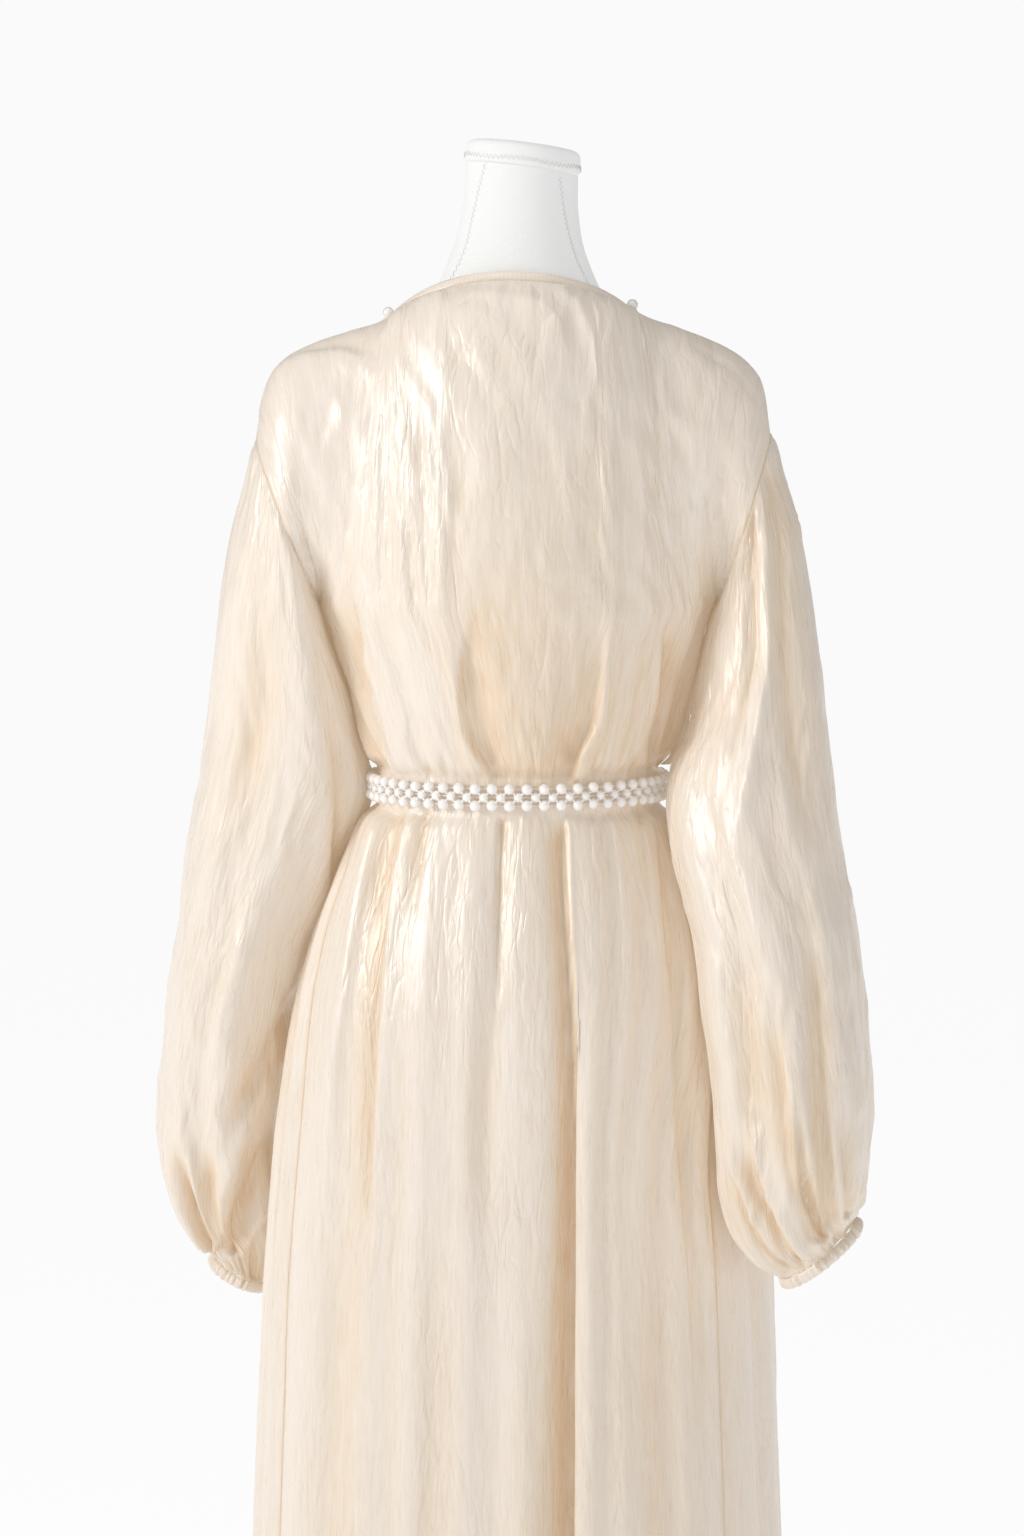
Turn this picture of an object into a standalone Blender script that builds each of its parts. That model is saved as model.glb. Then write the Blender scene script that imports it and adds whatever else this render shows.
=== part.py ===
# Abaya with balloon sleeves and a three-row pearl belt, standing on a limbless dress form.
# Metres, +Z up. The wearer faces -Y, the back faces +Y, and +X is the wearer's left.
# The origin is the middle of the stand's base, on the floor.
import math

import bmesh
import bpy
from mathutils import Matrix, Vector

# Driving dimensions
CLOTH_WALL = 0.002
SEAM_GAP = 0.0003
ARMHOLE_GAP = 0.0008
ARMHOLE_BACK_BULGE = 0.068
ARMHOLE_FRONT_BULGE = 0.062
HEM_HEIGHT = 0.060
WAIST_HEIGHT = 1.040
WAIST_HALF_WIDTH = 0.1155
WAIST_DEPTH = 0.0980
UNDERARM_HEIGHT = 1.188
NAPE_HEIGHT = 1.448
NECK_DEPTH = 0.061
NECK_SLOPE = 1.5
LAP_RISE = 0.0038
BINDING_WIDTH = 0.008
BINDING_WALL = 0.0024
BINDING_SEAM = 0.0005
TRIM_CLEARANCE = 0.0008
TRIM_START = 0.002
TRIM_END = 0.004
TRIM_PEARL_PITCH = 0.0118
TRIM_EDGE_PLACES = (0.0004, 0.0047, 0.0090)
PEARL_RISE = 0.0050
PEARL_FOOT = 0.0008
BELT_HALF_HEIGHT = 0.0104
BELT_ROW_PITCH = 0.0062
BELT_WALL = 0.002
BELT_LAP_TURN = 7.0
BELT_CLEARANCE = 0.0007
CLASP_WALL = 0.0042
PEARLS_ROUND_BELT = 54
CLASP_HALF_ANGLE = 8.0
CUFF_LENGTH = 0.010
BASE_RADIUS = 0.165
BASE_HEIGHT = 0.012
POLE_RADIUS = 0.016
FORM_BOTTOM = 0.700

# The cloth round the body: height, half width, depth behind and in front of the middle
BODY_RINGS = [
    dict(z=HEM_HEIGHT, half_width=0.236, back=0.172, front=0.170),
    dict(z=0.250, half_width=0.229, back=0.166, front=0.163),
    dict(z=0.406, half_width=0.2225, back=0.159, front=0.156),
    dict(z=0.555, half_width=0.2160, back=0.153, front=0.150),
    dict(z=0.632, half_width=0.2125, back=0.150, front=0.147),
    dict(z=0.715, half_width=0.2050, back=0.147, front=0.144),
    dict(z=0.780, half_width=0.1970, back=0.143, front=0.140),
    dict(z=0.860, half_width=0.1840, back=0.137, front=0.133),
    dict(z=0.920, half_width=0.1680, back=0.127, front=0.124),
    dict(z=0.960, half_width=0.1530, back=0.117, front=0.115),
    dict(z=0.990, half_width=0.1410, back=0.108, front=0.107),
    dict(z=1.014, half_width=0.1285, back=0.1015, front=0.1015),
    dict(z=1.026, half_width=WAIST_HALF_WIDTH, back=WAIST_DEPTH, front=WAIST_DEPTH),
    dict(z=1.054, half_width=WAIST_HALF_WIDTH, back=WAIST_DEPTH, front=WAIST_DEPTH),
    dict(z=1.064, half_width=0.1250, back=0.1050, front=0.1050),
    dict(z=1.087, half_width=0.1325, back=0.1140, front=0.1160),
    dict(z=1.117, half_width=0.1390, back=0.1215, front=0.1270),
    dict(z=1.152, half_width=0.1485, back=0.1265, front=0.1360),
    dict(z=UNDERARM_HEIGHT, half_width=0.1600, back=0.1290, front=0.1420),
]

# Heights at which the fold table gives its numbers
FOLD_LEVELS = dict(hem=HEM_HEIGHT, low=0.420, hip=0.720, pleat=0.970, waist=WAIST_HEIGHT - 0.015,
                   waist_top=WAIST_HEIGHT + 0.015, blouse=1.082, chest=UNDERARM_HEIGHT)

# The bottom line of each fold and seam, in degrees from the centre back, left side positive,
# and its depth in millimetres, at the hem, low, hip, pleat, waist, blouse and chest levels.
# The waist's value holds over the belt's height.
FOLDS = [
    dict(name="front_middle_right", angle=(-192, -192, -192.5, -197, -199, -190, -176),
         depth=(1, 1, 1, 1, 0.6, 1, 1)),
    dict(name="front_middle", angle=(-180, -180, -180, -182, -183, -178, -169),
         depth=(3, 3, 3, 2, 0.8, 2, 1)),
    dict(name="right_front_6", angle=(-168, -168, -167.5, -163, -161, -162, -160),
         depth=(1, 1, 1, 1, 0.6, 1, 1)),
    dict(name="right_front_5", angle=(-150, -150, -149, -148, -147, -148, -148),
         depth=(14, 12, 9, 7, 1, 5, 2)),
    dict(name="right_front_4", angle=(-129, -129, -129, -134, -135, -135, -134),
         depth=(9, 9, 9, 8, 1, 5, 3)),
    dict(name="right_front_3", angle=(-108, -107, -106, -119, -122, -121, -119),
         depth=(16, 14, 10, 8, 1, 6, 3)),
    dict(name="right_front_2", angle=(-86, -85, -84, -106, -109, -107, -104),
         depth=(10, 10, 9, 8, 1, 5, 2)),
    dict(name="right_front_1", angle=(-68, -67.5, -67, -95, -97, -97, -96),
         depth=(8, 8, 9, 8, 1, 4, 1)),
    dict(name="right_seam", angle=(-51, -50.5, -50.3, -82, -86, -88, -90),
         depth=(9, 8, 8, 8, 1, 4, 0)),
    dict(name="back_8", angle=(-43.5, -42.5, -41.5, -66, -70, -70, -71),
         depth=(2, 2, 3, 5, 1, 5, 2)),
    dict(name="back_7", angle=(-36, -35, -33, -54, -57, -58, -58),
         depth=(5, 5, 5, 6, 1, 6, 3)),
    dict(name="back_6", angle=(-28, -27, -24.5, -39, -41.5, -44, -46),
         depth=(2.5, 2.5, 3, 6, 1, 4, 2)),
    dict(name="back_5", angle=(-20.5, -20, -19.5, -30, -32.5, -33, -34),
         depth=(3, 3, 4, 6, 1, 4, 2)),
    dict(name="back_4", angle=(-11.7, -11.7, -13.2, -17.5, -19.2, -20, -23),
         depth=(16, 15, 14, 11, 1, 7, 3)),
    dict(name="back_3", angle=(5, 6, 6.4, 6.7, 6.9, 10, 17),
         depth=(5, 5, 7, 9, 1, 8, 4)),
    dict(name="back_2b", angle=(17, 17, 17, 20, 21, 23, 28),
         depth=(3, 3, 3, 4, 1, 3, 2)),
    dict(name="back_2", angle=(29, 28.5, 28.2, 35, 36.6, 38, 42),
         depth=(6, 6, 6, 7, 1, 6, 3)),
    dict(name="back_1", angle=(47, 45.5, 43.8, 51, 54, 58, 62),
         depth=(9, 8, 8, 8, 1, 7, 3)),
    dict(name="left_seam", angle=(64.5, 64.5, 65, 76, 82, 87, 90),
         depth=(9, 9, 9, 8, 1, 4, 0)),
    dict(name="left_front_1", angle=(80, 79, 78, 90, 95, 97, 97),
         depth=(7, 8, 8, 7, 1, 4, 1)),
    dict(name="left_front_2", angle=(96, 95, 93, 103, 107, 108, 106),
         depth=(13, 12, 9, 8, 1, 5, 2)),
    dict(name="left_front_3", angle=(114, 113, 111, 117, 120, 121, 119),
         depth=(9, 9, 9, 8, 1, 6, 3)),
    dict(name="left_front_4", angle=(133, 132, 131, 132, 133, 134, 133),
         depth=(15, 13, 10, 8, 1, 5, 3)),
    dict(name="left_front_5", angle=(151, 151, 151, 147, 147, 147, 147),
         depth=(9, 9, 8, 7, 1, 5, 2)),
    dict(name="left_front_6", angle=(168, 168, 167.5, 163, 161, 162, 160),
         depth=(1, 1, 1, 1, 0.6, 1, 1)),
]

# The shoulder line from the neck to the top of the armhole, as distance from the middle and height
LEFT_SHOULDER = [
    dict(x=0.1030, z=1.4203), dict(x=0.1180, z=1.4135), dict(x=0.1352, z=1.4088), dict(x=0.1563, z=1.4024),
    dict(x=0.1726, z=1.3960), dict(x=0.1856, z=1.3895), dict(x=0.1945, z=1.3815),
    dict(x=0.2011, z=1.3726), dict(x=0.2061, z=1.3597), dict(x=0.2103, z=1.3371),
    dict(x=0.2128, z=1.3201),
]
RIGHT_SHOULDER = [
    dict(x=0.0900, z=1.4268), dict(x=0.1036, z=1.4200), dict(x=0.1247, z=1.4129), dict(x=0.1458, z=1.4056),
    dict(x=0.1645, z=1.3976), dict(x=0.1800, z=1.3885), dict(x=0.1905, z=1.3785),
    dict(x=0.1968, z=1.3694), dict(x=0.2005, z=1.3565), dict(x=0.2028, z=1.3400),
    dict(x=0.2045, z=1.3266),
]

# Rings down each sleeve: the outer and inner edge seen from behind, the middle's place
# from front to back, half the depth, and the depth of the long folds
LEFT_SLEEVE = [
    dict(outer_x=0.2180, outer_z=1.3030, inner_x=0.1525, inner_z=1.160, y=0.004, depth=0.066, fold=0.0010),
    dict(outer_x=0.2330, outer_z=1.2400, inner_x=0.1402, inner_z=1.116, y=0.000, depth=0.068, fold=0.0030),
    dict(outer_x=0.2420, outer_z=1.1905, inner_x=0.1338, inner_z=1.086, y=-0.007, depth=0.069, fold=0.0040),
    dict(outer_x=0.2485, outer_z=1.1410, inner_x=0.1290, inner_z=1.058, y=-0.014, depth=0.070, fold=0.0045),
    dict(outer_x=0.2560, outer_z=1.0880, inner_x=0.1270, inner_z=1.028, y=-0.023, depth=0.071, fold=0.0050),
    dict(outer_x=0.2665, outer_z=1.0245, inner_x=0.1400, inner_z=0.990, y=-0.033, depth=0.073, fold=0.0055),
    dict(outer_x=0.2795, outer_z=0.9635, inner_x=0.1570, inner_z=0.948, y=-0.041, depth=0.075, fold=0.0060),
    dict(outer_x=0.2840, outer_z=0.9125, inner_x=0.1715, inner_z=0.903, y=-0.047, depth=0.077, fold=0.0065),
    dict(outer_x=0.2920, outer_z=0.8660, inner_x=0.1815, inner_z=0.860, y=-0.052, depth=0.078, fold=0.0070),
    dict(outer_x=0.2980, outer_z=0.8150, inner_x=0.1905, inner_z=0.811, y=-0.059, depth=0.078, fold=0.0075),
    dict(outer_x=0.3035, outer_z=0.7700, inner_x=0.1975, inner_z=0.763, y=-0.066, depth=0.076, fold=0.0085),
    dict(outer_x=0.3055, outer_z=0.7345, inner_x=0.2010, inner_z=0.723, y=-0.072, depth=0.073, fold=0.0095),
    dict(outer_x=0.3020, outer_z=0.7020, inner_x=0.2035, inner_z=0.686, y=-0.077, depth=0.067, fold=0.0095),
    dict(outer_x=0.2955, outer_z=0.6705, inner_x=0.2030, inner_z=0.652, y=-0.082, depth=0.058, fold=0.0080),
    dict(outer_x=0.2810, outer_z=0.6460, inner_x=0.2020, inner_z=0.629, y=-0.084, depth=0.049, fold=0.0050),
]
RIGHT_SLEEVE = [
    dict(outer_x=0.2125, outer_z=1.3090, inner_x=0.1525, inner_z=1.160, y=0.006, depth=0.066, fold=0.0010),
    dict(outer_x=0.2250, outer_z=1.2605, inner_x=0.1408, inner_z=1.120, y=0.018, depth=0.069, fold=0.0030),
    dict(outer_x=0.2310, outer_z=1.2190, inner_x=0.1370, inner_z=1.098, y=0.027, depth=0.070, fold=0.0040),
    dict(outer_x=0.2380, outer_z=1.1770, inner_x=0.1305, inner_z=1.078, y=0.037, depth=0.070, fold=0.0045),
    dict(outer_x=0.2440, outer_z=1.1295, inner_x=0.1262, inner_z=1.058, y=0.049, depth=0.071, fold=0.0050),
    dict(outer_x=0.2485, outer_z=1.0820, inner_x=0.1240, inner_z=1.034, y=0.060, depth=0.072, fold=0.0055),
    dict(outer_x=0.2545, outer_z=1.0310, inner_x=0.1240, inner_z=1.004, y=0.072, depth=0.073, fold=0.0060),
    dict(outer_x=0.2620, outer_z=0.9840, inner_x=0.1320, inner_z=0.968, y=0.083, depth=0.074, fold=0.0065),
    dict(outer_x=0.2710, outer_z=0.9330, inner_x=0.1400, inner_z=0.925, y=0.094, depth=0.076, fold=0.0070),
    dict(outer_x=0.2770, outer_z=0.8780, inner_x=0.1465, inner_z=0.876, y=0.103, depth=0.077, fold=0.0075),
    dict(outer_x=0.2830, outer_z=0.8200, inner_x=0.1540, inner_z=0.815, y=0.111, depth=0.076, fold=0.0080),
    dict(outer_x=0.2820, outer_z=0.7730, inner_x=0.1570, inner_z=0.766, y=0.114, depth=0.073, fold=0.0090),
    dict(outer_x=0.2780, outer_z=0.7350, inner_x=0.1605, inner_z=0.724, y=0.113, depth=0.066, fold=0.0095),
    dict(outer_x=0.2760, outer_z=0.7180, inner_x=0.1720, inner_z=0.690, y=0.111, depth=0.056, fold=0.0080),
    dict(outer_x=0.2735, outer_z=0.7100, inner_x=0.1890, inner_z=0.666, y=0.110, depth=0.046, fold=0.0045),
]
LEFT_CUFF = dict(x=0.2375, y=-0.084, z=0.6120, half_width=0.027, depth=0.040, tilt=26.0)
RIGHT_CUFF = dict(x=0.2427, y=0.108, z=0.6740, half_width=0.0384, depth=0.036, tilt=39.0)
SLEEVE_FOLDS = 7

# Rings of the dress form: height, half width, half depth, place of the middle, and how
# square (over 2) or pointed (under 2) the ring is
FORM_RINGS = [
    dict(z=FORM_BOTTOM, half_width=0.140, depth=0.098, y=0.000, power=2.2),
    dict(z=0.712, half_width=0.152, depth=0.108, y=0.000, power=2.2),
    dict(z=0.800, half_width=0.158, depth=0.112, y=0.000, power=2.2),
    dict(z=0.880, half_width=0.150, depth=0.108, y=0.000, power=2.1),
    dict(z=0.950, half_width=0.130, depth=0.096, y=0.000, power=2.0),
    dict(z=1.000, half_width=0.114, depth=0.089, y=0.000, power=2.0),
    dict(z=1.028, half_width=0.1117, depth=0.0940, y=0.000, power=2.0),
    dict(z=1.052, half_width=0.1117, depth=0.0940, y=0.000, power=2.0),
    dict(z=1.090, half_width=0.119, depth=0.098, y=-0.002, power=2.0),
    dict(z=1.150, half_width=0.133, depth=0.108, y=-0.005, power=2.1),
    dict(z=1.210, half_width=0.146, depth=0.110, y=-0.005, power=2.1),
    dict(z=1.270, half_width=0.158, depth=0.100, y=-0.002, power=1.9),
    dict(z=1.320, half_width=0.167, depth=0.090, y=0.001, power=1.7),
    dict(z=1.360, half_width=0.171, depth=0.080, y=0.003, power=1.45),
    dict(z=1.380, half_width=0.167, depth=0.076, y=0.004, power=1.25),
    dict(z=1.3935, half_width=0.157, depth=0.073, y=0.004, power=1.15),
    dict(z=1.4013, half_width=0.1465, depth=0.070, y=0.004, power=1.12),
    dict(z=1.4085, half_width=0.123, depth=0.066, y=0.003, power=1.15),
    dict(z=1.418, half_width=0.092, depth=0.057, y=0.002, power=1.4),
    dict(z=1.432, half_width=0.0735, depth=0.051, y=0.001, power=1.8),
    dict(z=1.455, half_width=0.0608, depth=0.049, y=0.000, power=2.0),
    dict(z=1.490, half_width=0.0492, depth=0.049, y=-0.002, power=2.0),
    dict(z=1.525, half_width=0.0455, depth=0.048, y=-0.003, power=2.0),
    dict(z=1.5385, half_width=0.0455, depth=0.048, y=-0.003, power=2.0),
]
FORM_NECK_LEAN = 7.0
FORM_NECK_SHIFT = -0.003
NECK_CAP = dict(radius=0.0462, height=0.0190, rounding=0.005)

# Columns and rows of the cloth grids
BACK_COLUMNS_PER_FOLD = 3
FRONT_COLUMNS_PER_FOLD = 3
SLEEVE_COLUMNS_PER_FOLD = 4
SKIRT_ROWS = [HEM_HEIGHT, 0.170, 0.290, 0.420, 0.540, 0.640, 0.730, 0.810, 0.875, 0.925,
              0.962, 0.990, 1.011, 1.026, 1.054, 1.068, 1.095, 1.135, UNDERARM_HEIGHT]
UPPER_ROWS = 7

# Where the shoulder meets the neckline on the panel's ring of columns, degrees from the back
NECK_ANGLE = 52.0


def material(name, colour, roughness, metallic=0.0):
    made = bpy.data.materials.new(name)
    made.use_nodes = True
    shader = made.node_tree.nodes["Principled BSDF"]
    shader.inputs["Base Color"].default_value = (*colour, 1.0)
    shader.inputs["Roughness"].default_value = roughness
    shader.inputs["Metallic"].default_value = metallic
    made.diffuse_color = (*colour, 1.0)
    return made


def curve_value(places, values, where):
    # A smooth curve through the points, level past its ends
    if where <= places[0]:
        return values[0]
    if where >= places[-1]:
        return values[-1]
    last = len(places) - 1
    i = 0
    while where > places[i + 1]:
        i += 1

    def slope(k):
        if k in (0, last):
            return 0.0
        before = (values[k] - values[k - 1]) / (places[k] - places[k - 1])
        after = (values[k + 1] - values[k]) / (places[k + 1] - places[k])
        if before * after <= 0.0:
            return 0.0
        return 2.0 * before * after / (before + after)

    step = places[i + 1] - places[i]
    f = (where - places[i]) / step
    start, end = slope(i) * step, slope(i + 1) * step
    if i == 0:
        start = values[1] - values[0]
    if i + 1 == last:
        end = values[last] - values[last - 1]
    return ((2 * f ** 3 - 3 * f ** 2 + 1) * values[i] + (f ** 3 - 2 * f ** 2 + f) * start
            + (3 * f ** 2 - 2 * f ** 3) * values[i + 1] + (f ** 3 - f ** 2) * end)


def ring_value(name, z):
    return curve_value([row["z"] for row in BODY_RINGS], [row[name] for row in BODY_RINGS], z)


def fold_value(fold, name, z):
    values = list(fold[name])
    waist = list(FOLD_LEVELS).index("waist")
    values.insert(waist, values[waist])
    return curve_value(list(FOLD_LEVELS.values()), values, z)


def fold_depth(angle, z):
    # How far the cloth lies inside its ring: full at each fold's bottom line, none midway
    lines = [(fold_value(fold, "angle", z), fold_value(fold, "depth", z)) for fold in FOLDS]
    lines.append((lines[0][0] + 360.0, lines[0][1]))
    if angle < lines[0][0]:
        angle += 360.0
    if angle > lines[-1][0]:
        angle -= 360.0
    for (start, start_depth), (end, end_depth) in zip(lines, lines[1:]):
        if start <= angle <= end:
            f = (angle - start) / (end - start)
            share = (0.5 + 0.5 * math.cos(2 * math.pi * f)) ** max(1.0, (end - start) / 13.0)
            return 0.001 * share * (start_depth + (end_depth - start_depth) * f)
    return 0.0


def lap_rise(angle):
    # The right front lies on the left one, and comes down to the side seam's level
    f = min(1.0, max(0.0, (-angle - 105.0) / 40.0))
    return LAP_RISE * f * f * (3 - 2 * f)


def body_point(angle, z, rise=0.0):
    turn = math.radians(angle)
    side, back = math.sin(turn), math.cos(turn)
    half_width = ring_value("half_width", z)
    depth = ring_value("back" if back > 0 else "front", z)
    point = Vector((half_width * side, depth * back, z))
    outward = Vector((side / half_width, back / depth, 0)).normalized()
    return point + outward * (rise - fold_depth(angle, z))


def shoulder_point(table, f, side):
    # f runs from the neck (0) to the armhole's top (1), evenly along the line
    lengths = [0.0]
    for a, b in zip(table, table[1:]):
        lengths.append(lengths[-1] + math.hypot(b["x"] - a["x"], b["z"] - a["z"]))
    where = f * lengths[-1]
    x = curve_value(lengths, [row["x"] for row in table], where)
    z = curve_value(lengths, [row["z"] for row in table], where)
    return Vector((side * x, 0, z))


def neck_point(turn, lift=0.0, sink=0.0):
    # The neckline seen from above is half an ellipse. turn is 90 degrees at the left shoulder,
    # 0 at the back and -90 at the right shoulder. lift goes up along the cloth, sink goes in.
    t = math.radians(turn)
    left, right = LEFT_SHOULDER[0], RIGHT_SHOULDER[0]
    middle = 0.5 * (left["x"] - right["x"])
    half = 0.5 * (left["x"] + right["x"])
    side_z = left["z"] + (right["z"] - left["z"]) * (0.5 - 0.5 * math.sin(t))
    level = max(0.0, math.cos(t))
    point = Vector((middle + half * math.sin(t), NECK_DEPTH * level, side_z))
    point.z += (NAPE_HEIGHT - side_z) * level ** NECK_SLOPE
    along = Vector((half * math.cos(t), -NECK_DEPTH * math.sin(t), -0.033 * math.sin(t))).normalized()
    up = Vector((-0.75 * math.sin(t), -0.40 * level, 0.52 + 0.40 * level)).normalized()
    inward = along.cross(up).normalized()
    if inward.z > 0:
        inward.negate()
    return point + up * lift + inward * sink, inward


def armhole_point(side, f, back):
    # Half an ellipse from the underarm (f=0) to the shoulder (f=1)
    table = LEFT_SHOULDER if side > 0 else RIGHT_SHOULDER
    top = Vector((side * table[-1]["x"], 0, table[-1]["z"]))
    bottom = Vector((side * ring_value("half_width", UNDERARM_HEIGHT), 0, UNDERARM_HEIGHT))
    middle = (top + bottom) / 2
    bulge = ARMHOLE_BACK_BULGE if back > 0 else -ARMHOLE_FRONT_BULGE
    turn = math.pi * (1 - f)
    shift = bulge * math.sin(turn) + 0.5 * SEAM_GAP * back
    return middle + (top - middle) * math.cos(turn) + Vector((0, shift, 0))


def armhole_inward(side, normal, lean):
    # Into the cloth, but never across the seam to its other piece: lean is -1 for a panel
    # and 1 for the sleeve
    inward = -normal
    across = inward.dot(armhole_normal(side))
    if across * lean < 0:
        inward -= armhole_normal(side) * across
    return inward.normalized()


def shoulder_inward(direction):
    # Into the cloth within the shoulder seam's own plane
    return Vector((direction.x, 0, direction.z)).normalized()


def upper_point(angle, f, top, edges, rise):
    # Between the underarm ring (f=0) and the shoulder line or neckline (f=1): the wall goes up
    # and then in, and its side edges are drawn onto the armholes
    quarter = math.pi * f / 2
    fullness = 1 - 0.45 * abs(math.sin(math.radians(angle)))
    back_share = 1 - max(0.0, math.cos(quarter)) ** fullness
    bottom = body_point(angle, UNDERARM_HEIGHT, rise * (1 - f))

    def between(start, end):
        return Vector((start.x + (end.x - start.x) * f, start.y + (end.y - start.y) * back_share,
                       start.z + (end.z - start.z) * math.sin(quarter)))

    point = between(bottom, top)
    for weight, edge_bottom, edge_top, side, back in edges:
        if weight > 0:
            point += (armhole_point(side, f, back) - between(edge_bottom, edge_top)) * weight
    return point


def side_weight(distance):
    # 1 at the armhole, 0 from a third of the panel on
    return max(0.0, 1.0 - distance / 0.36) ** 2


def thicken(bm, wall, inward):
    # Extrudes a sheet inwards by its wall; inward gives each point's direction
    layer = bm.verts.layers.float_vector.new("inward")
    for v in bm.verts:
        v[layer] = inward(v)
    made = bmesh.ops.extrude_face_region(bm, geom=bm.faces[:], use_keep_orig=True)
    for element in made["geom"]:
        if isinstance(element, bmesh.types.BMVert):
            element.co += element[layer] * wall
    bmesh.ops.recalc_face_normals(bm, faces=bm.faces[:])


def finish(name, bm, surface):
    bmesh.ops.triangulate(bm, faces=bm.faces[:])
    mesh = bpy.data.meshes.new(name)
    bm.to_mesh(mesh)
    bm.free()
    mesh.shade_smooth()
    mesh.set_sharp_from_angle(angle=math.radians(40))
    made = bpy.data.objects.new(name, mesh)
    made.data.materials.append(surface)
    bpy.context.collection.objects.link(made)
    return made


def sheet(name, columns, rows, place, wall, surface, edge_inward=None, closed=False):
    # A grid whose columns run anticlockwise seen from above and whose rows run up, so that its
    # faces point out; place(column, row) gives each point
    bm = bmesh.new()
    bmesh.ops.create_grid(bm, x_segments=columns, y_segments=rows, size=0.5)
    spot = bm.verts.layers.float_vector.new("spot")
    for v in bm.verts:
        column = round((v.co.x + 0.5) * columns)
        row = round((v.co.y + 0.5) * rows)
        v[spot] = (column, row, 0)
        v.co = place(column, row)
    if closed:
        bmesh.ops.remove_doubles(bm, verts=bm.verts[:], dist=0.00001)
    bmesh.ops.triangulate(bm, faces=bm.faces[:])
    bm.normal_update()

    def inward(v):
        column, row = round(v[spot][0]), round(v[spot][1])
        given = edge_inward(column, row, v) if edge_inward else None
        return given if given is not None else -v.normal

    thicken(bm, wall, inward)
    return finish(name, bm, surface)


def column_angles(first, last, per_fold):
    # For each column the pair of fold lines that it lies between, and how far between them
    names = [fold["name"] for fold in FOLDS]
    start, end = names.index(first), names.index(last)
    places = []
    step = 1 if end > start else -1
    for i in range(start, end, step):
        for k in range(per_fold):
            places.append((FOLDS[i], FOLDS[i + step], k / per_fold))
    places.append((FOLDS[end], FOLDS[end], 0.0))
    return places


def angle_at(place, z):
    a, b, f = place
    return fold_value(a, "angle", z) * (1 - f) + fold_value(b, "angle", z) * f


def seam_shift(column, last, z):
    # Half a seam's gap, as an angle
    shift = math.degrees(0.5 * SEAM_GAP / ring_value("half_width", z)) * 1.3
    if column == 0:
        return -shift
    return shift if column == last else 0.0


def make_back(surface):
    places = column_angles("left_seam", "right_seam", BACK_COLUMNS_PER_FOLD)
    last = len(places) - 1
    top_row = len(SKIRT_ROWS) - 1
    chest = [angle_at(place, UNDERARM_HEIGHT) for place in places]

    def top_of(angle):
        if angle > NECK_ANGLE:
            top = shoulder_point(LEFT_SHOULDER, (angle - NECK_ANGLE) / (90 - NECK_ANGLE), 1)
        elif angle < -NECK_ANGLE:
            top = shoulder_point(RIGHT_SHOULDER, (-angle - NECK_ANGLE) / (90 - NECK_ANGLE), -1)
        else:
            top = neck_point(angle / NECK_ANGLE * 90)[0]
        return top + Vector((0, 0.5 * SEAM_GAP, 0))

    def place(column, row):
        if row <= top_row:
            z = SKIRT_ROWS[row]
            return body_point(angle_at(places[column], z) + seam_shift(column, last, z), z)
        f = (row - top_row) / UPPER_ROWS
        angle = chest[column]
        edges = []
        for side, edge in ((1, 0), (-1, last)):
            away = abs(angle - chest[edge]) / 180
            edges.append((side_weight(away), body_point(chest[edge], UNDERARM_HEIGHT),
                          top_of(chest[edge]), side, 1))
        return upper_point(angle, f, top_of(angle), edges, 0)

    def edge_inward(column, row, v):
        side = 1 if column == 0 else -1
        if row == top_row + UPPER_ROWS:
            if abs(chest[column]) > NECK_ANGLE:
                return shoulder_inward(-v.normal)
            return neck_point(chest[column] / NECK_ANGLE * 90)[1]
        if column in (0, last) and row > top_row:
            return armhole_inward(side, v.normal, -1)
        if column in (0, last):
            angle = math.radians(angle_at(places[column], SKIRT_ROWS[row]))
            return Vector((-math.sin(angle), -math.cos(angle), 0))
        return None

    return sheet("back_panel", last, top_row + UPPER_ROWS, place, CLOTH_WALL, surface, edge_inward)


def front_surface(side):
    # The right front (side -1) runs from the side seam to its edge, the left one the other way
    if side < 0:
        places = column_angles("right_seam", "front_middle_right", FRONT_COLUMNS_PER_FOLD)
        table = RIGHT_SHOULDER
    else:
        places = column_angles("left_seam", "left_front_6", FRONT_COLUMNS_PER_FOLD)[:-1]
        places += left_lap_columns()
        table = LEFT_SHOULDER
    last = len(places) - 1
    top_row = len(SKIRT_ROWS) - 1
    chest_edge = angle_at(places[last], UNDERARM_HEIGHT)

    def top_of(f):
        # f is 0 at the armhole and 1 at the neck
        return shoulder_point(table, 1 - f, side) - Vector((0, 0.5 * SEAM_GAP, 0))

    def place(column, row):
        if row <= top_row:
            z = SKIRT_ROWS[row]
            angle = angle_at(places[column], z)
            if column == 0:
                angle += side * math.degrees(0.65 * SEAM_GAP / ring_value("half_width", z))
            return body_point(angle, z, lap_rise(angle) if side < 0 else 0.0)
        f = (row - top_row) / UPPER_ROWS
        angle = angle_at(places[column], UNDERARM_HEIGHT)
        across = (angle - side * 90) / (chest_edge - side * 90)
        seam = body_point(side * 90, UNDERARM_HEIGHT)
        edges = [(side_weight(abs(angle - side * 90) / 180), seam, top_of(0), side, -1)]
        rise = lap_rise(angle) if side < 0 else 0.0
        return upper_point(angle, f, top_of(across), edges, rise)

    return places, last, top_row, place


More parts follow.
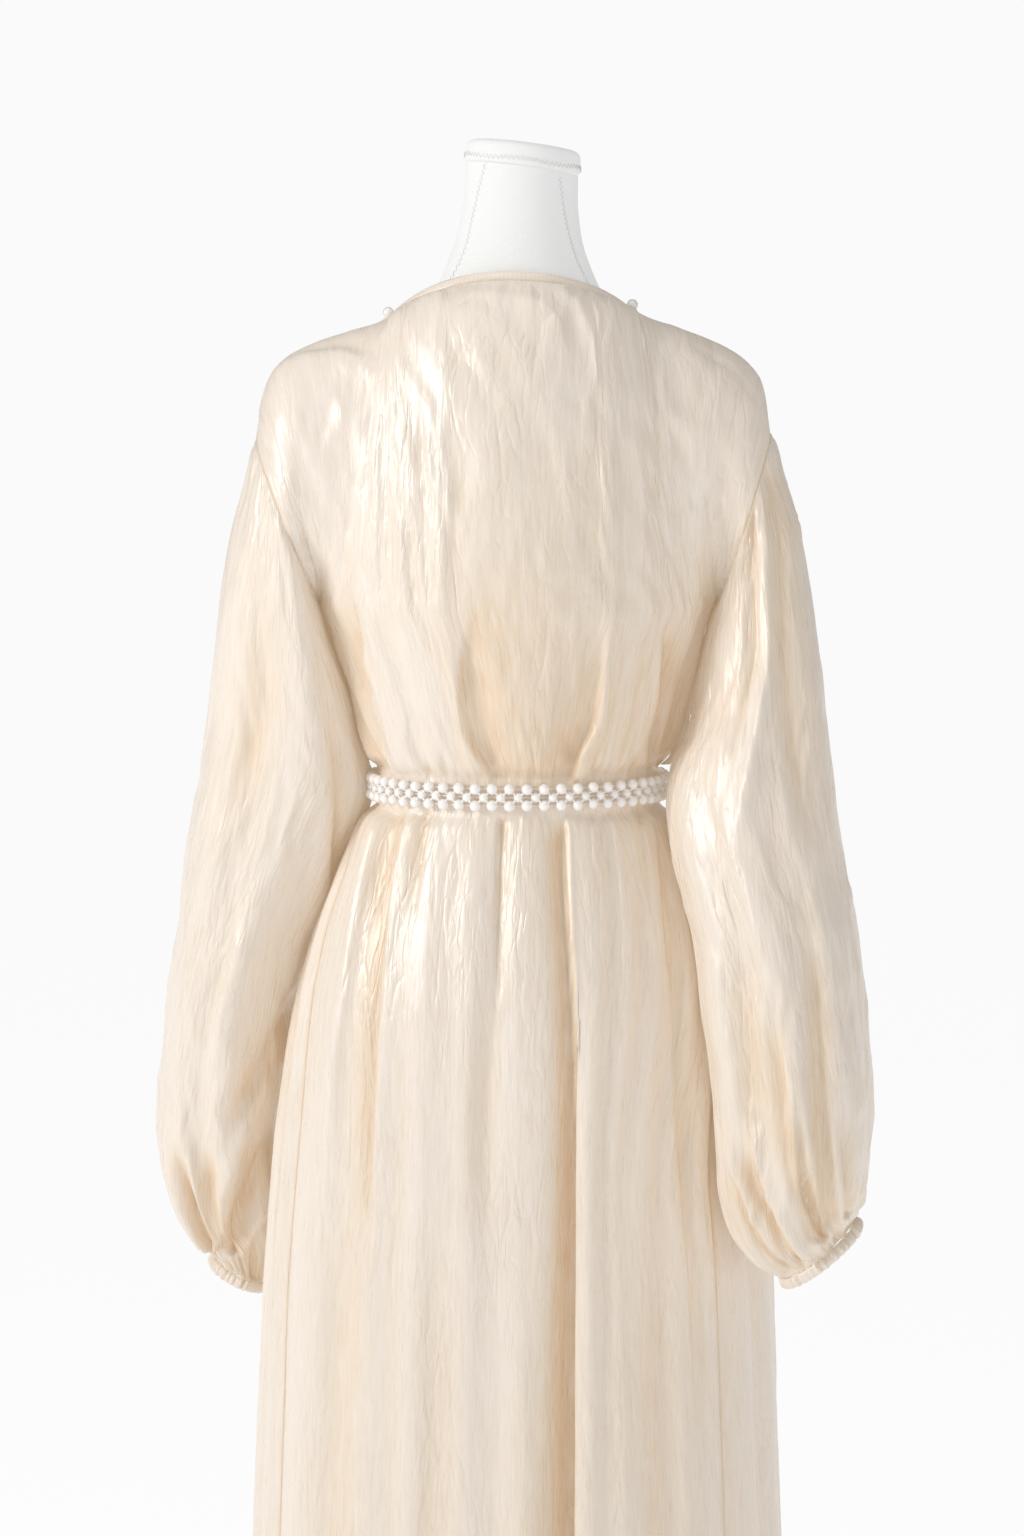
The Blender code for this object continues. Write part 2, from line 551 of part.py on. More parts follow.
def left_lap_columns():
    # The left front goes on under the right one, to the mirror of the right one's edge
    lines = {fold["name"]: fold for fold in FOLDS}
    edge = lines["front_middle_right"]
    mirror = dict(name="under_edge", angle=[-a for a in edge["angle"]], depth=edge["depth"])
    start = lines["left_front_6"]
    per_fold = FRONT_COLUMNS_PER_FOLD
    columns = [(start, mirror, k / (2 * per_fold)) for k in range(2 * per_fold)]
    return columns + [(mirror, mirror, 0.0)]


def make_front(side, surface):
    places, last, top_row, place = front_surface(side)
    name = "front_panel_left" if side > 0 else "front_panel_right"

    # The grid's columns run anticlockwise: the left front's start at its free edge
    def turned(column):
        return last - column if side > 0 else column

    def edge_inward(column, row, v):
        column = turned(column)
        if row == top_row + UPPER_ROWS:
            return shoulder_inward(-v.normal)
        if column == 0 and row > top_row:
            return armhole_inward(side, v.normal, -1)
        if column == 0:
            angle = math.radians(angle_at(places[0], SKIRT_ROWS[row]))
            return Vector((-math.sin(angle), -math.cos(angle), 0))
        return None

    return sheet(name, last, top_row + UPPER_ROWS,
                 lambda column, row: place(turned(column), row), CLOTH_WALL, surface, edge_inward)


def cuff_ring(cuff, side, turn, drop, scale=1.0):
    # A tilted ring: drop is the way along its axis, down and outwards from the sleeve
    tilt = math.radians(cuff["tilt"])
    across = Vector((side * math.cos(tilt), 0, math.sin(tilt)))
    down = Vector((side * math.sin(tilt), 0, -math.cos(tilt)))
    middle = Vector((side * cuff["x"], cuff["y"], cuff["z"]))
    return (middle + down * drop + across * (cuff["half_width"] * scale * math.cos(turn))
            + Vector((0, cuff["depth"] * scale * math.sin(turn), 0)))


def sleeve_point(rings, cuff, side, turn, level):
    # level is 0 at the armhole, then one for each ring, and the cuff's ring last
    if level == 0:
        shift = armhole_normal(side) * ARMHOLE_GAP
        back = 1 if math.sin(turn) > 0 else -1
        f = 1 - (turn / math.pi if back > 0 else (2 * math.pi - turn) / math.pi)
        return armhole_point(side, f, back) + shift
    if level > len(rings):
        return cuff_ring(cuff, side, turn, -0.5 * CUFF_LENGTH - SEAM_GAP)
    ring = rings[level - 1]
    outer = Vector((side * ring["outer_x"], ring["y"], ring["outer_z"]))
    inner = Vector((side * ring["inner_x"], ring["y"], ring["inner_z"]))
    middle = (outer + inner) / 2
    uneven = 0.7 + 0.3 * math.cos(3 * turn + 1.1)
    wave = 0.5 - 0.5 * math.cos(SLEEVE_FOLDS * turn + 0.05 * level)
    round_off = 1 - ring["fold"] * uneven * wave / ring["depth"]
    return (middle + (outer - middle) * (math.cos(turn) * round_off)
            + Vector((0, ring["depth"] * math.sin(turn) * round_off, 0)))


def armhole_normal(side):
    across = armhole_point(side, 1, 1) - armhole_point(side, 0, 1)
    return Vector((side * across.z, 0, -side * across.x)).normalized()


def make_sleeve(side, surface):
    rings, cuff = (LEFT_SLEEVE, LEFT_CUFF) if side > 0 else (RIGHT_SLEEVE, RIGHT_CUFF)
    levels = len(rings) + 1
    columns = SLEEVE_FOLDS * SLEEVE_COLUMNS_PER_FOLD

    def place(column, row):
        # The grid's rows run up from the cuff. The ring's turn starts at the outer edge and
        # goes by the back on either side, so the left sleeve's columns keep it and the right
        # one's reverse it.
        turn = 2 * math.pi * (column % columns) / columns
        if side < 0:
            turn = (2 * math.pi - turn) % (2 * math.pi)
        return sleeve_point(rings, cuff, side, turn, levels - row)

    def edge_inward(column, row, v):
        if row == levels:
            return armhole_inward(side, v.normal, 1)
        if row == 0:
            return (cuff_middle(cuff, side, -0.5 * CUFF_LENGTH - SEAM_GAP) - v.co).normalized()
        return None

    name = "sleeve_left" if side > 0 else "sleeve_right"
    return sheet(name, columns, levels, place, CLOTH_WALL, surface, edge_inward, closed=True)


def cuff_middle(cuff, side, drop):
    return (cuff_ring(cuff, side, 0, drop) + cuff_ring(cuff, side, math.pi, drop)) / 2


def make_cuff(side, surface):
    cuff = LEFT_CUFF if side > 0 else RIGHT_CUFF
    columns = 32
    rows = 2

    def place(column, row):
        turn = 2 * math.pi * (column % columns) / columns
        if side < 0:
            turn = (2 * math.pi - turn) % (2 * math.pi)
        drop = CUFF_LENGTH * (0.5 - row / rows)
        swell = 1.05 + 0.02 * math.cos(16 * turn) if row == 1 else 1.0
        return cuff_ring(cuff, side, turn, drop, swell)

    def edge_inward(column, row, v):
        drop = CUFF_LENGTH * (0.5 - row / rows)
        return (cuff_middle(cuff, side, drop) - v.co).normalized()

    name = "cuff_left" if side > 0 else "cuff_right"
    return sheet(name, columns, rows, place, CLOTH_WALL, surface, edge_inward, closed=True)


def make_neck_binding(surface):
    # On the columns of the back panel's neckline, so that both keep their gap
    turns = [angle_at(place, UNDERARM_HEIGHT) / NECK_ANGLE * 90
             for place in column_angles("left_seam", "right_seam", BACK_COLUMNS_PER_FOLD)]
    turns = [90.0] + [turn for turn in turns if abs(turn) < 89.9] + [-90.0]
    last = len(turns) - 1

    def place(column, row):
        # The strip narrows towards the shoulders
        fullness = 0.5 + 0.5 * min(1.0, math.cos(math.radians(turns[column])) / 0.6)
        lift = BINDING_SEAM + BINDING_WIDTH * fullness * row / 2
        rounding = -0.0004 if row == 1 else 0.0
        point = neck_point(turns[column], lift, rounding)[0]
        return point + Vector((0, 0.5 * SEAM_GAP, 0))

    def edge_inward(column, row, v):
        return neck_point(turns[column])[1]

    return sheet("neck_binding", last, 2, place, BINDING_WALL, surface, edge_inward)


def make_front_trim(side, surface):
    # A strip on the panel along its neck edge, with a row of pearls raised on it
    places, last, top_row, place = front_surface(side)
    edge = [place(last, top_row + k) for k in range(UPPER_ROWS + 1)]
    beside = [place(last - 1, top_row + k) for k in range(UPPER_ROWS + 1)]
    lengths = [0.0]
    for a, b in zip(edge, edge[1:]):
        lengths.append(lengths[-1] + (b - a).length)
    start, end = TRIM_START, lengths[-1] - TRIM_END
    pearls = round((end - start) / TRIM_PEARL_PITCH)
    columns = pearls * 2

    def station(f):
        where = start + (end - start) * f
        i = 0
        while i < UPPER_ROWS - 1 and where > lengths[i + 1]:
            i += 1
        share = (where - lengths[i]) / (lengths[i + 1] - lengths[i])
        point = edge[i].lerp(edge[i + 1], share)
        across = (beside[i].lerp(beside[i + 1], share) - point).normalized()
        along = (edge[i + 1] - edge[i]).normalized()
        outward = along.cross(across).normalized()
        if outward.y > 0:
            outward.negate()
        return point, across, outward

    across_places = TRIM_EDGE_PLACES[::-1] if side > 0 else TRIM_EDGE_PLACES

    def outside(column, row):
        point, across, outward = station(column / columns)
        rise = TRIM_CLEARANCE + CLOTH_WALL
        if row == 1:
            rise += PEARL_RISE if column % 2 == 1 else PEARL_FOOT
        return point + across * across_places[row] + outward * rise

    def underside(column, row):
        point, across, outward = station(column / columns)
        return point + across * across_places[row] + outward * TRIM_CLEARANCE

    bm = raised_sheet(columns, 2, outside, underside)
    return finish("front_trim_left" if side > 0 else "front_trim_right", bm, surface)


def raised_sheet(columns, rows, outside, underside):
    # A grid raised in its outer points over a plain underside that keeps only its cross lines
    bm = bmesh.new()
    bmesh.ops.create_grid(bm, x_segments=columns, y_segments=rows, size=0.5)
    under = bm.verts.layers.float_vector.new("under")
    row_of = bm.verts.layers.int.new("row")
    for v in bm.verts:
        column = round((v.co.x + 0.5) * columns)
        v[row_of] = round((v.co.y + 0.5) * rows)
        v.co = outside(column, v[row_of])
        v[under] = underside(column, v[row_of])
    made = bmesh.ops.extrude_face_region(bm, geom=bm.faces[:], use_keep_orig=True)
    below = {e for e in made["geom"] if isinstance(e, bmesh.types.BMVert)}
    for v in below:
        v.co = v[under]
    long_lines = [e for e in bm.edges if all(v in below and 0 < v[row_of] < rows for v in e.verts)
                  and e.verts[0][row_of] == e.verts[1][row_of]]
    bmesh.ops.dissolve_edges(bm, edges=long_lines, use_verts=True)
    bmesh.ops.recalc_face_normals(bm, faces=bm.faces[:])
    return bm


def belt_point(angle, height, rise):
    # On the cinched waist, over the lap at the front and down to the left front beyond its edge
    lap = lap_rise(angle if angle < 0 else BELT_LAP_TURN - angle)
    turn = math.radians(angle)
    half_width, depth = WAIST_HALF_WIDTH, WAIST_DEPTH
    point = Vector((half_width * math.sin(turn), depth * math.cos(turn), WAIST_HEIGHT + height))
    outward = Vector((math.sin(turn) / half_width, math.cos(turn) / depth, 0)).normalized()
    return point + outward * (BELT_CLEARANCE + lap + rise)


def make_belt(surface):
    columns = 2 * PEARLS_ROUND_BELT - 4
    heights = [-BELT_HALF_HEIGHT, -BELT_ROW_PITCH, -BELT_ROW_PITCH / 2, 0,
               BELT_ROW_PITCH / 2, BELT_ROW_PITCH, BELT_HALF_HEIGHT]
    start = 180 - CLASP_HALF_ANGLE

    def outside(column, row):
        rise = BELT_WALL
        if 0 < column < columns:
            # The middle row's pearls lie between those of the outer rows
            if (row in (1, 5) and column % 2 == 1) or (row == 3 and column % 2 == 0):
                rise += PEARL_RISE
        return belt_point(start - 2 * start * column / columns, heights[row], rise)

    def underside(column, row):
        return belt_point(start - 2 * start * column / columns, heights[row], 0)

    bm = raised_sheet(columns, len(heights) - 1, outside, underside)
    return finish("pearl_belt", bm, surface)


def make_clasp(surface):
    columns, rows = 6, 2
    half_angle = CLASP_HALF_ANGLE - math.degrees(SEAM_GAP / WAIST_DEPTH)

    def place(column, row, rise):
        angle = 180 - half_angle * (2 * column / columns - 1)
        return belt_point(angle, BELT_HALF_HEIGHT * (2 * row / rows - 1), rise)

    bm = raised_sheet(columns, rows, lambda column, row: place(column, row, CLASP_WALL),
                      lambda column, row: place(column, row, 0))
    return finish("belt_clasp", bm, surface)


def form_ring_point(ring, turn, lean):
    side, back = math.cos(turn), math.sin(turn)
    size = (abs(side) ** ring["power"] + abs(back) ** ring["power"]) ** (-1 / ring["power"])
    x = ring["half_width"] * side * size
    y = ring["y"] + ring["depth"] * back * size
    z = ring["z"] + x * math.tan(math.radians(FORM_NECK_LEAN)) * lean
    return Vector((x + FORM_NECK_SHIFT * lean, y, z))


def make_form(surface):
    columns = 24
    rows = len(FORM_RINGS) - 1

    def place(column, row):
        ring = FORM_RINGS[row]
        lean = min(1.0, max(0.0, (ring["z"] - 1.44) / 0.09))
        return form_ring_point(ring, 2 * math.pi * (column % columns) / columns, lean)

    bm = bmesh.new()
    bmesh.ops.create_grid(bm, x_segments=columns, y_segments=rows, size=0.5)
    for v in bm.verts:
        v.co = place(round((v.co.x + 0.5) * columns), round((v.co.y + 0.5) * rows))
    bmesh.ops.remove_doubles(bm, verts=bm.verts[:], dist=0.00001)
    bmesh.ops.holes_fill(bm, edges=[e for e in bm.edges if e.is_boundary], sides=columns)
    bmesh.ops.recalc_face_normals(bm, faces=bm.faces[:])
    return finish("form_torso", bm, surface)


def make_neck_cap(surface):
    bm = bmesh.new()
    radius, height = NECK_CAP["radius"], NECK_CAP["height"]
    bmesh.ops.create_cone(bm, cap_ends=True, segments=24, radius1=radius, radius2=radius, depth=height)
    bmesh.ops.translate(bm, vec=(0, 0, height / 2), verts=bm.verts[:])
    rim = [e for e in bm.edges if all(v.co.z > height / 2 for v in e.verts)]
    bmesh.ops.bevel(bm, geom=rim, offset=NECK_CAP["rounding"], segments=2, profile=0.5, affect="EDGES")
    lean = Matrix.Rotation(-math.radians(FORM_NECK_LEAN), 4, "Y")
    last = FORM_RINGS[-1]
    seat = Matrix.Translation((FORM_NECK_SHIFT, last["y"], last["z"] + SEAM_GAP))
    bmesh.ops.transform(bm, matrix=seat @ lean, verts=bm.verts[:])
    return finish("form_neck_cap", bm, surface)


def make_pole(surface):
    bottom, top = BASE_HEIGHT + SEAM_GAP, FORM_BOTTOM - SEAM_GAP
    bm = bmesh.new()
    bmesh.ops.create_cone(bm, cap_ends=True, segments=20, radius1=POLE_RADIUS, radius2=POLE_RADIUS,
                          depth=top - bottom)
    bmesh.ops.translate(bm, vec=(0, 0, (top + bottom) / 2), verts=bm.verts[:])
    return finish("stand_pole", bm, surface)


def make_base(surface):
    bm = bmesh.new()
    bmesh.ops.create_cone(bm, cap_ends=True, segments=40, radius1=BASE_RADIUS, radius2=BASE_RADIUS,
                          depth=BASE_HEIGHT)
    bmesh.ops.translate(bm, vec=(0, 0, BASE_HEIGHT / 2), verts=bm.verts[:])
    rim = [e for e in bm.edges if all(v.co.z > BASE_HEIGHT / 2 for v in e.verts)]
    bmesh.ops.bevel(bm, geom=rim, offset=0.003, segments=1, profile=0.5, affect="EDGES")
    return finish("stand_base", bm, surface)


def main():
    for old in list(bpy.data.objects):
        bpy.data.objects.remove(old, do_unlink=True)
    satin = material("champagne_satin", (0.86, 0.79, 0.69), 0.38)
    pearl = material("pearl", (0.93, 0.90, 0.85), 0.22)
    metal = material("clasp_metal", (0.80, 0.78, 0.74), 0.25, 1.0)
    jersey = material("form_jersey", (0.90, 0.90, 0.92), 0.85)
    steel = material("stand_steel", (0.75, 0.75, 0.76), 0.35, 1.0)
    make_back(satin)
    for side in (1, -1):
        make_front(side, satin)
        make_sleeve(side, satin)
        make_cuff(side, satin)
        make_front_trim(side, pearl)
    make_neck_binding(satin)
    make_belt(pearl)
    make_clasp(metal)
    make_form(jersey)
    make_neck_cap(jersey)
    make_pole(steel)
    make_base(steel)


main()
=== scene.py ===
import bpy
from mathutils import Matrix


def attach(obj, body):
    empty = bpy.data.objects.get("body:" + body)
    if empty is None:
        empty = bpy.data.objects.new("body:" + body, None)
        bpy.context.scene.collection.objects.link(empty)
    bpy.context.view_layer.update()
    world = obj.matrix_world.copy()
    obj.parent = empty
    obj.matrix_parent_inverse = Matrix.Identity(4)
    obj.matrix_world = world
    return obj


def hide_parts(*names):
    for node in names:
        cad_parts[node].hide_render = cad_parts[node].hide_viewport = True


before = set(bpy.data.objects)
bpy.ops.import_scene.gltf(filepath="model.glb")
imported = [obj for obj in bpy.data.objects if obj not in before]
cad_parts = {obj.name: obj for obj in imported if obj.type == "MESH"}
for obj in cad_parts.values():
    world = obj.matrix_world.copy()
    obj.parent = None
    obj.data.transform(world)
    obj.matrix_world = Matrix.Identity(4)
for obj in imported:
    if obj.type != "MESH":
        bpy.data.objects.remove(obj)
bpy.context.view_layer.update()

import math

import bmesh
import bpy
import numpy as np
from mathutils import Vector

# Looks of a long satin abaya with a pearl belt on a white dress form, seen from behind.
# Metres, +Z up, the garment's back faces +Y and +X is the wearer's left. Side 1 is left, -1 right.


def rowsOf(columns, *rows):
    # A table: one dictionary for each row, under the columns' names
    return [dict(zip(columns.split(), row)) for row in rows]


def creaseRows(*rows):
    # Each row is a crease's name, its height in mm (valleys are negative), its width left and right
    # of its line in tenths of a mm, the share of its length over which each end dies out, and then
    # its line, as places along and across the sheet in tenths of a mm
    return [dict(name=name, height=height, left=left / 10000, right=right / 10000, fade=(low, high),
                 path=[(a / 10000, b / 10000) for a, b in zip(line[::2], line[1::2])])
            for name, height, left, right, low, high, *line in rows]


# Camera, floor and light

white = (1.0, 1.0, 1.0)
view = dict(place=(0.0049, 2.9836, 1.3666), aim=(0.0049, 0.0, 1.053), lens=85.75, sensor=36)
room = dict(floorSize=60.0, floorParts=8, paper=(0.10, 0.10, 0.10), paperGlow=0.930, backdrop=0.956, air=0.26,
            lampAim=(0, 0, 0.95),
            lamps=rowsOf("name place size power colour",
                         ("keyLight", (2.8, 1.5, 2.1), 1.4, 56, (1.0, 0.985, 0.96)),
                         ("fillLight", (-2.4, 2.0, 1.2), 2.2, 9, (0.97, 0.98, 1.0)),
                         ("topLight", (0.1, 0.9, 3.4), 2.4, 15, white)))


def addAimed(name, data, place, aim):
    made = bpy.data.objects.new(name, data)
    made.location = place
    made.rotation_euler = (Vector(aim) - Vector(place)).to_track_quat("-Z", "Y").to_euler()
    bpy.context.collection.objects.link(made)
    return made


def makeCamera():
    camera = addAimed("camera", bpy.data.cameras.new("camera"), view["place"], view["aim"])
    camera.data.lens = view["lens"]
    camera.data.sensor_width = view["sensor"]
    bpy.context.scene.camera = camera


def makeRoom():
    world = bpy.data.worlds.new("air")
    bpy.context.scene.world = world
    world.use_nodes = True
    # The camera sees white paper, and the object is lit more softly than that
    seen = addNode(world.node_tree, "ShaderNodeLightPath").outputs["Is Camera Ray"]
    strength = calc("ADD", calc("MULTIPLY", seen, room["backdrop"] - room["air"]), room["air"])
    feed(world.node_tree.nodes["Background"], {"Color": white, "Strength": strength})
    bpy.context.scene.view_settings.view_transform = "Standard"
    for row in room["lamps"]:
        lamp = bpy.data.lights.new(row["name"], "AREA")
        lamp.shape = "DISK"
        lamp.size, lamp.energy, lamp.color = row["size"], row["power"], row["colour"]
        addAimed(row["name"], lamp, row["place"], room["lampAim"])
    bm = bmesh.new()
    bmesh.ops.create_grid(bm, x_segments=room["floorParts"], y_segments=room["floorParts"],
                          size=room["floorSize"] / 2)
    made, tree, shader = newMaterial("paper", room["paper"], 0.9)
    feed(shader, {"Specular IOR Level": 0.0, "Emission Color": white, "Emission Strength": room["paperGlow"]})
    addObject("floor", bm, made)


def addObject(name, bm, surface):
    mesh = bpy.data.meshes.new(name)
    bm.to_mesh(mesh)
    bm.free()
    mesh.shade_smooth()
    mesh.materials.append(surface)
    made = bpy.data.objects.new(name, mesh)
    bpy.context.collection.objects.link(made)
    return made


def addPiece(name, bm, surface):
    made = addObject(name, bm, surface)
    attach(made, "root")
    return made


# Node helpers

def feed(node, values):
    # Sets a node's inputs and settings, and joins on the outputs of other nodes
    for key, value in values.items():
        socket = node.inputs[key] if isinstance(key, int) else node.inputs.get(key)
        if socket is None:
            setattr(node, key, value)
        elif isinstance(value, bpy.types.NodeSocket):
            node.id_data.links.new(value, socket)
        else:
            socket.default_value = (*value, 1) if socket.type == "RGBA" else value
    return node


def addNode(tree, kind, **values):
    return feed(tree.nodes.new(kind), values)


def calc(operation, a, b=0.0):
    node = a.id_data.nodes.new("ShaderNodeMath")
    return feed(node, {"operation": operation, 0: a, 1: b}).outputs[0]


def weighted(*parts):
    # The sum of outputs, each with its share
    total = None
    for part, share in parts:
        scaled = calc("MULTIPLY", part, share)
        total = scaled if total is None else calc("ADD", total, scaled)
    return total


def mixColours(share, a, b):
    node = share.id_data.nodes.new("ShaderNodeMix")
    return feed(node, {"data_type": "RGBA", 0: share, 6: a, 7: b}).outputs[2]


def stretch(value, low, high):
    node = value.id_data.nodes.new("ShaderNodeMapRange")
    return feed(node, {"Value": value, "From Min": low, "From Max": high}).outputs["Result"]


def noiseOn(vector, scale, **values):
    tree = vector.id_data
    mapping = addNode(tree, "ShaderNodeMapping", Vector=vector, Scale=scale)
    return addNode(tree, "ShaderNodeTexNoise", Vector=mapping.outputs["Vector"], **values).outputs["Fac"]


def newMaterial(name, colour, roughness, metallic=0.0):
    made = bpy.data.materials.new(name)
    made.use_nodes = True
    made.diffuse_color = (*colour, 1)
    shader = made.node_tree.nodes["Principled BSDF"]
    feed(shader, {"Base Color": colour, "Roughness": roughness, "Metallic": metallic})
    return made, made.node_tree, shader


def addBump(tree, height, strength, distance):
    return addNode(tree, "ShaderNodeBump", Height=height, Strength=strength, Distance=distance).outputs["Normal"]


# Sizes of the garment and the form, the same as those of the solids

clothWall = 0.0011
seamGap = 0.0003
armholeGap = 0.0008
armholeBulge = dict(back=0.068, front=0.062)
hemHeight = 0.060
waistHeight = 1.040
waistHalfWidth = 0.1155
waistDepth = 0.0980
underarmHeight = 1.188
napeHeight = 1.448
neckDepth = 0.061
neckSlope = 1.5
neckAngle = 52.0
lapRise = 0.0038
cuffLength = 0.010
formBottom = 0.700

# The cloth round the body: height, half width, depth behind and in front of the middle
bodyRings = rowsOf(
    "z halfWidth back front",
    (hemHeight, 0.236, 0.172, 0.170),
    (0.250, 0.229, 0.166, 0.163),
    (0.406, 0.2225, 0.159, 0.156),
    (0.555, 0.2160, 0.153, 0.150),
    (0.632, 0.2125, 0.150, 0.147),
    (0.715, 0.2050, 0.147, 0.144),
    (0.780, 0.1970, 0.143, 0.140),
    (0.860, 0.1840, 0.137, 0.133),
    (0.920, 0.1680, 0.127, 0.124),
    (0.960, 0.1530, 0.117, 0.115),
    (0.990, 0.1410, 0.108, 0.107),
    (1.014, 0.1285, 0.1015, 0.1015),
    (1.026, waistHalfWidth, waistDepth, waistDepth),
    (1.054, waistHalfWidth, waistDepth, waistDepth),
    (1.064, 0.1250, 0.1050, 0.1050),
    (1.087, 0.1325, 0.1140, 0.1160),
    (1.117, 0.1390, 0.1215, 0.1270),
    (1.152, 0.1485, 0.1265, 0.1360),
    (underarmHeight, 0.1600, 0.1290, 0.1420),
)

# Heights at which the fold table gives its numbers: hem, low, hip, pleat, both edges of the
# waist's belt, blouse and chest. The waist's number holds over the belt's height.
foldHeights = [hemHeight, 0.420, 0.720, 0.970, waistHeight - 0.015, waistHeight + 0.015, 1.082, underarmHeight]
waistLevel = 4

# The bottom line of each fold and seam, in degrees from the centre back, left side positive,
# and its depth in millimetres, at those heights
folds = rowsOf(
    "name angle depth",
    ("front_middle_right", (-192, -192, -192.5, -197, -199, -190, -176), (1, 1, 1, 1, 0.6, 1, 1)),
    ("front_middle", (-180, -180, -180, -182, -183, -178, -169), (3, 3, 3, 2, 0.8, 2, 1)),
    ("right_front_6", (-168, -168, -167.5, -163, -161, -162, -160), (1, 1, 1, 1, 0.6, 1, 1)),
    ("right_front_5", (-150, -150, -149, -148, -147, -148, -148), (14, 12, 9, 7, 1, 5, 2)),
    ("right_front_4", (-129, -129, -129, -134, -135, -135, -134), (9, 9, 9, 8, 1, 5, 3)),
    ("right_front_3", (-108, -107, -106, -119, -122, -121, -119), (16, 14, 10, 8, 1, 6, 3)),
    ("right_front_2", (-86, -85, -84, -106, -109, -107, -104), (10, 10, 9, 8, 1, 5, 2)),
    ("right_front_1", (-68, -67.5, -67, -95, -97, -97, -96), (8, 8, 9, 8, 1, 4, 1)),
    ("right_seam", (-51, -50.5, -50.3, -82, -86, -88, -90), (9, 8, 8, 8, 1, 4, 0)),
    ("back_8", (-43.5, -42.5, -41.5, -66, -70, -70, -71), (2, 2, 3, 5, 1, 5, 2)),
    ("back_7", (-36, -35, -33, -54, -57, -58, -58), (5, 5, 5, 6, 1, 6, 3)),
    ("back_6", (-28, -27, -24.5, -39, -41.5, -44, -46), (2.5, 2.5, 3, 6, 1, 4, 2)),
    ("back_5", (-20.5, -20, -19.5, -30, -32.5, -33, -34), (3, 3, 4, 6, 1, 4, 2)),
    ("back_4", (-11.7, -11.7, -13.2, -17.5, -19.2, -20, -23), (16, 15, 14, 11, 1, 7, 3)),
    ("back_3", (5, 6, 6.4, 6.7, 6.9, 10, 17), (5, 5, 7, 9, 1, 8, 4)),
    ("back_2b", (17, 17, 17, 20, 21, 23, 28), (3, 3, 3, 4, 1, 3, 2)),
    ("back_2", (29, 28.5, 28.2, 35, 36.6, 38, 42), (6, 6, 6, 7, 1, 6, 3)),
    ("back_1", (47, 45.5, 43.8, 51, 54, 58, 62), (9, 8, 8, 8, 1, 7, 3)),
    ("left_seam", (64.5, 64.5, 65, 76, 82, 87, 90), (9, 9, 9, 8, 1, 4, 0)),
    ("left_front_1", (80, 79, 78, 90, 95, 97, 97), (7, 8, 8, 7, 1, 4, 1)),
    ("left_front_2", (96, 95, 93, 103, 107, 108, 106), (13, 12, 9, 8, 1, 5, 2)),
    ("left_front_3", (114, 113, 111, 117, 120, 121, 119), (9, 9, 9, 8, 1, 6, 3)),
    ("left_front_4", (133, 132, 131, 132, 133, 134, 133), (15, 13, 10, 8, 1, 5, 3)),
    ("left_front_5", (151, 151, 151, 147, 147, 147, 147), (9, 9, 8, 7, 1, 5, 2)),
    ("left_front_6", (168, 168, 167.5, 163, 161, 162, 160), (1, 1, 1, 1, 0.6, 1, 1)),
)

# The shoulder line from the neck to the top of the armhole, as distance from the middle and height
leftShoulder = rowsOf(
    "x z",
    (0.1030, 1.4203), (0.1180, 1.4135), (0.1352, 1.4088), (0.1563, 1.4024), (0.1726, 1.3960),
    (0.1856, 1.3895), (0.1945, 1.3815), (0.2011, 1.3726), (0.2061, 1.3597), (0.2103, 1.3371),
    (0.2128, 1.3201)
)
rightShoulder = rowsOf(
    "x z",
    (0.0900, 1.4268), (0.1036, 1.4200), (0.1247, 1.4129), (0.1458, 1.4056), (0.1645, 1.3976),
    (0.1800, 1.3885), (0.1905, 1.3785), (0.1968, 1.3694), (0.2005, 1.3565), (0.2028, 1.3400),
    (0.2045, 1.3266)
)

# Rings down each sleeve: the outer and inner edge seen from behind, the middle's place
# from front to back, half the depth, and the depth of the long folds
ringColumns = "outerX outerZ innerX innerZ y depth fold"
leftSleeve = rowsOf(
    ringColumns,
    (0.2180, 1.3030, 0.1525, 1.160, 0.004, 0.066, 0.0010),
    (0.2330, 1.2400, 0.1372, 1.116, 0.000, 0.068, 0.0030),
    (0.2420, 1.1905, 0.1298, 1.086, -0.007, 0.069, 0.0040),
    (0.2485, 1.1410, 0.1222, 1.058, -0.014, 0.070, 0.0045),
    (0.2560, 1.0880, 0.1196, 1.028, -0.023, 0.071, 0.0050),
    (0.2665, 1.0245, 0.1365, 0.990, -0.033, 0.073, 0.0055),
    (0.2795, 0.9635, 0.1540, 0.948, -0.041, 0.075, 0.0060),
    (0.2840, 0.9125, 0.1715, 0.903, -0.047, 0.077, 0.0065),
    (0.2920, 0.8660, 0.1815, 0.860, -0.052, 0.078, 0.0070),
    (0.2980, 0.8150, 0.1905, 0.811, -0.059, 0.078, 0.0075),
    (0.3035, 0.7700, 0.1975, 0.763, -0.066, 0.076, 0.0085),
    (0.3055, 0.7345, 0.2010, 0.723, -0.072, 0.073, 0.0095),
    (0.3020, 0.7020, 0.2035, 0.686, -0.077, 0.067, 0.0095),
    (0.2955, 0.6705, 0.2030, 0.652, -0.082, 0.058, 0.0080),
    (0.2810, 0.6460, 0.2020, 0.629, -0.084, 0.049, 0.0050),
)
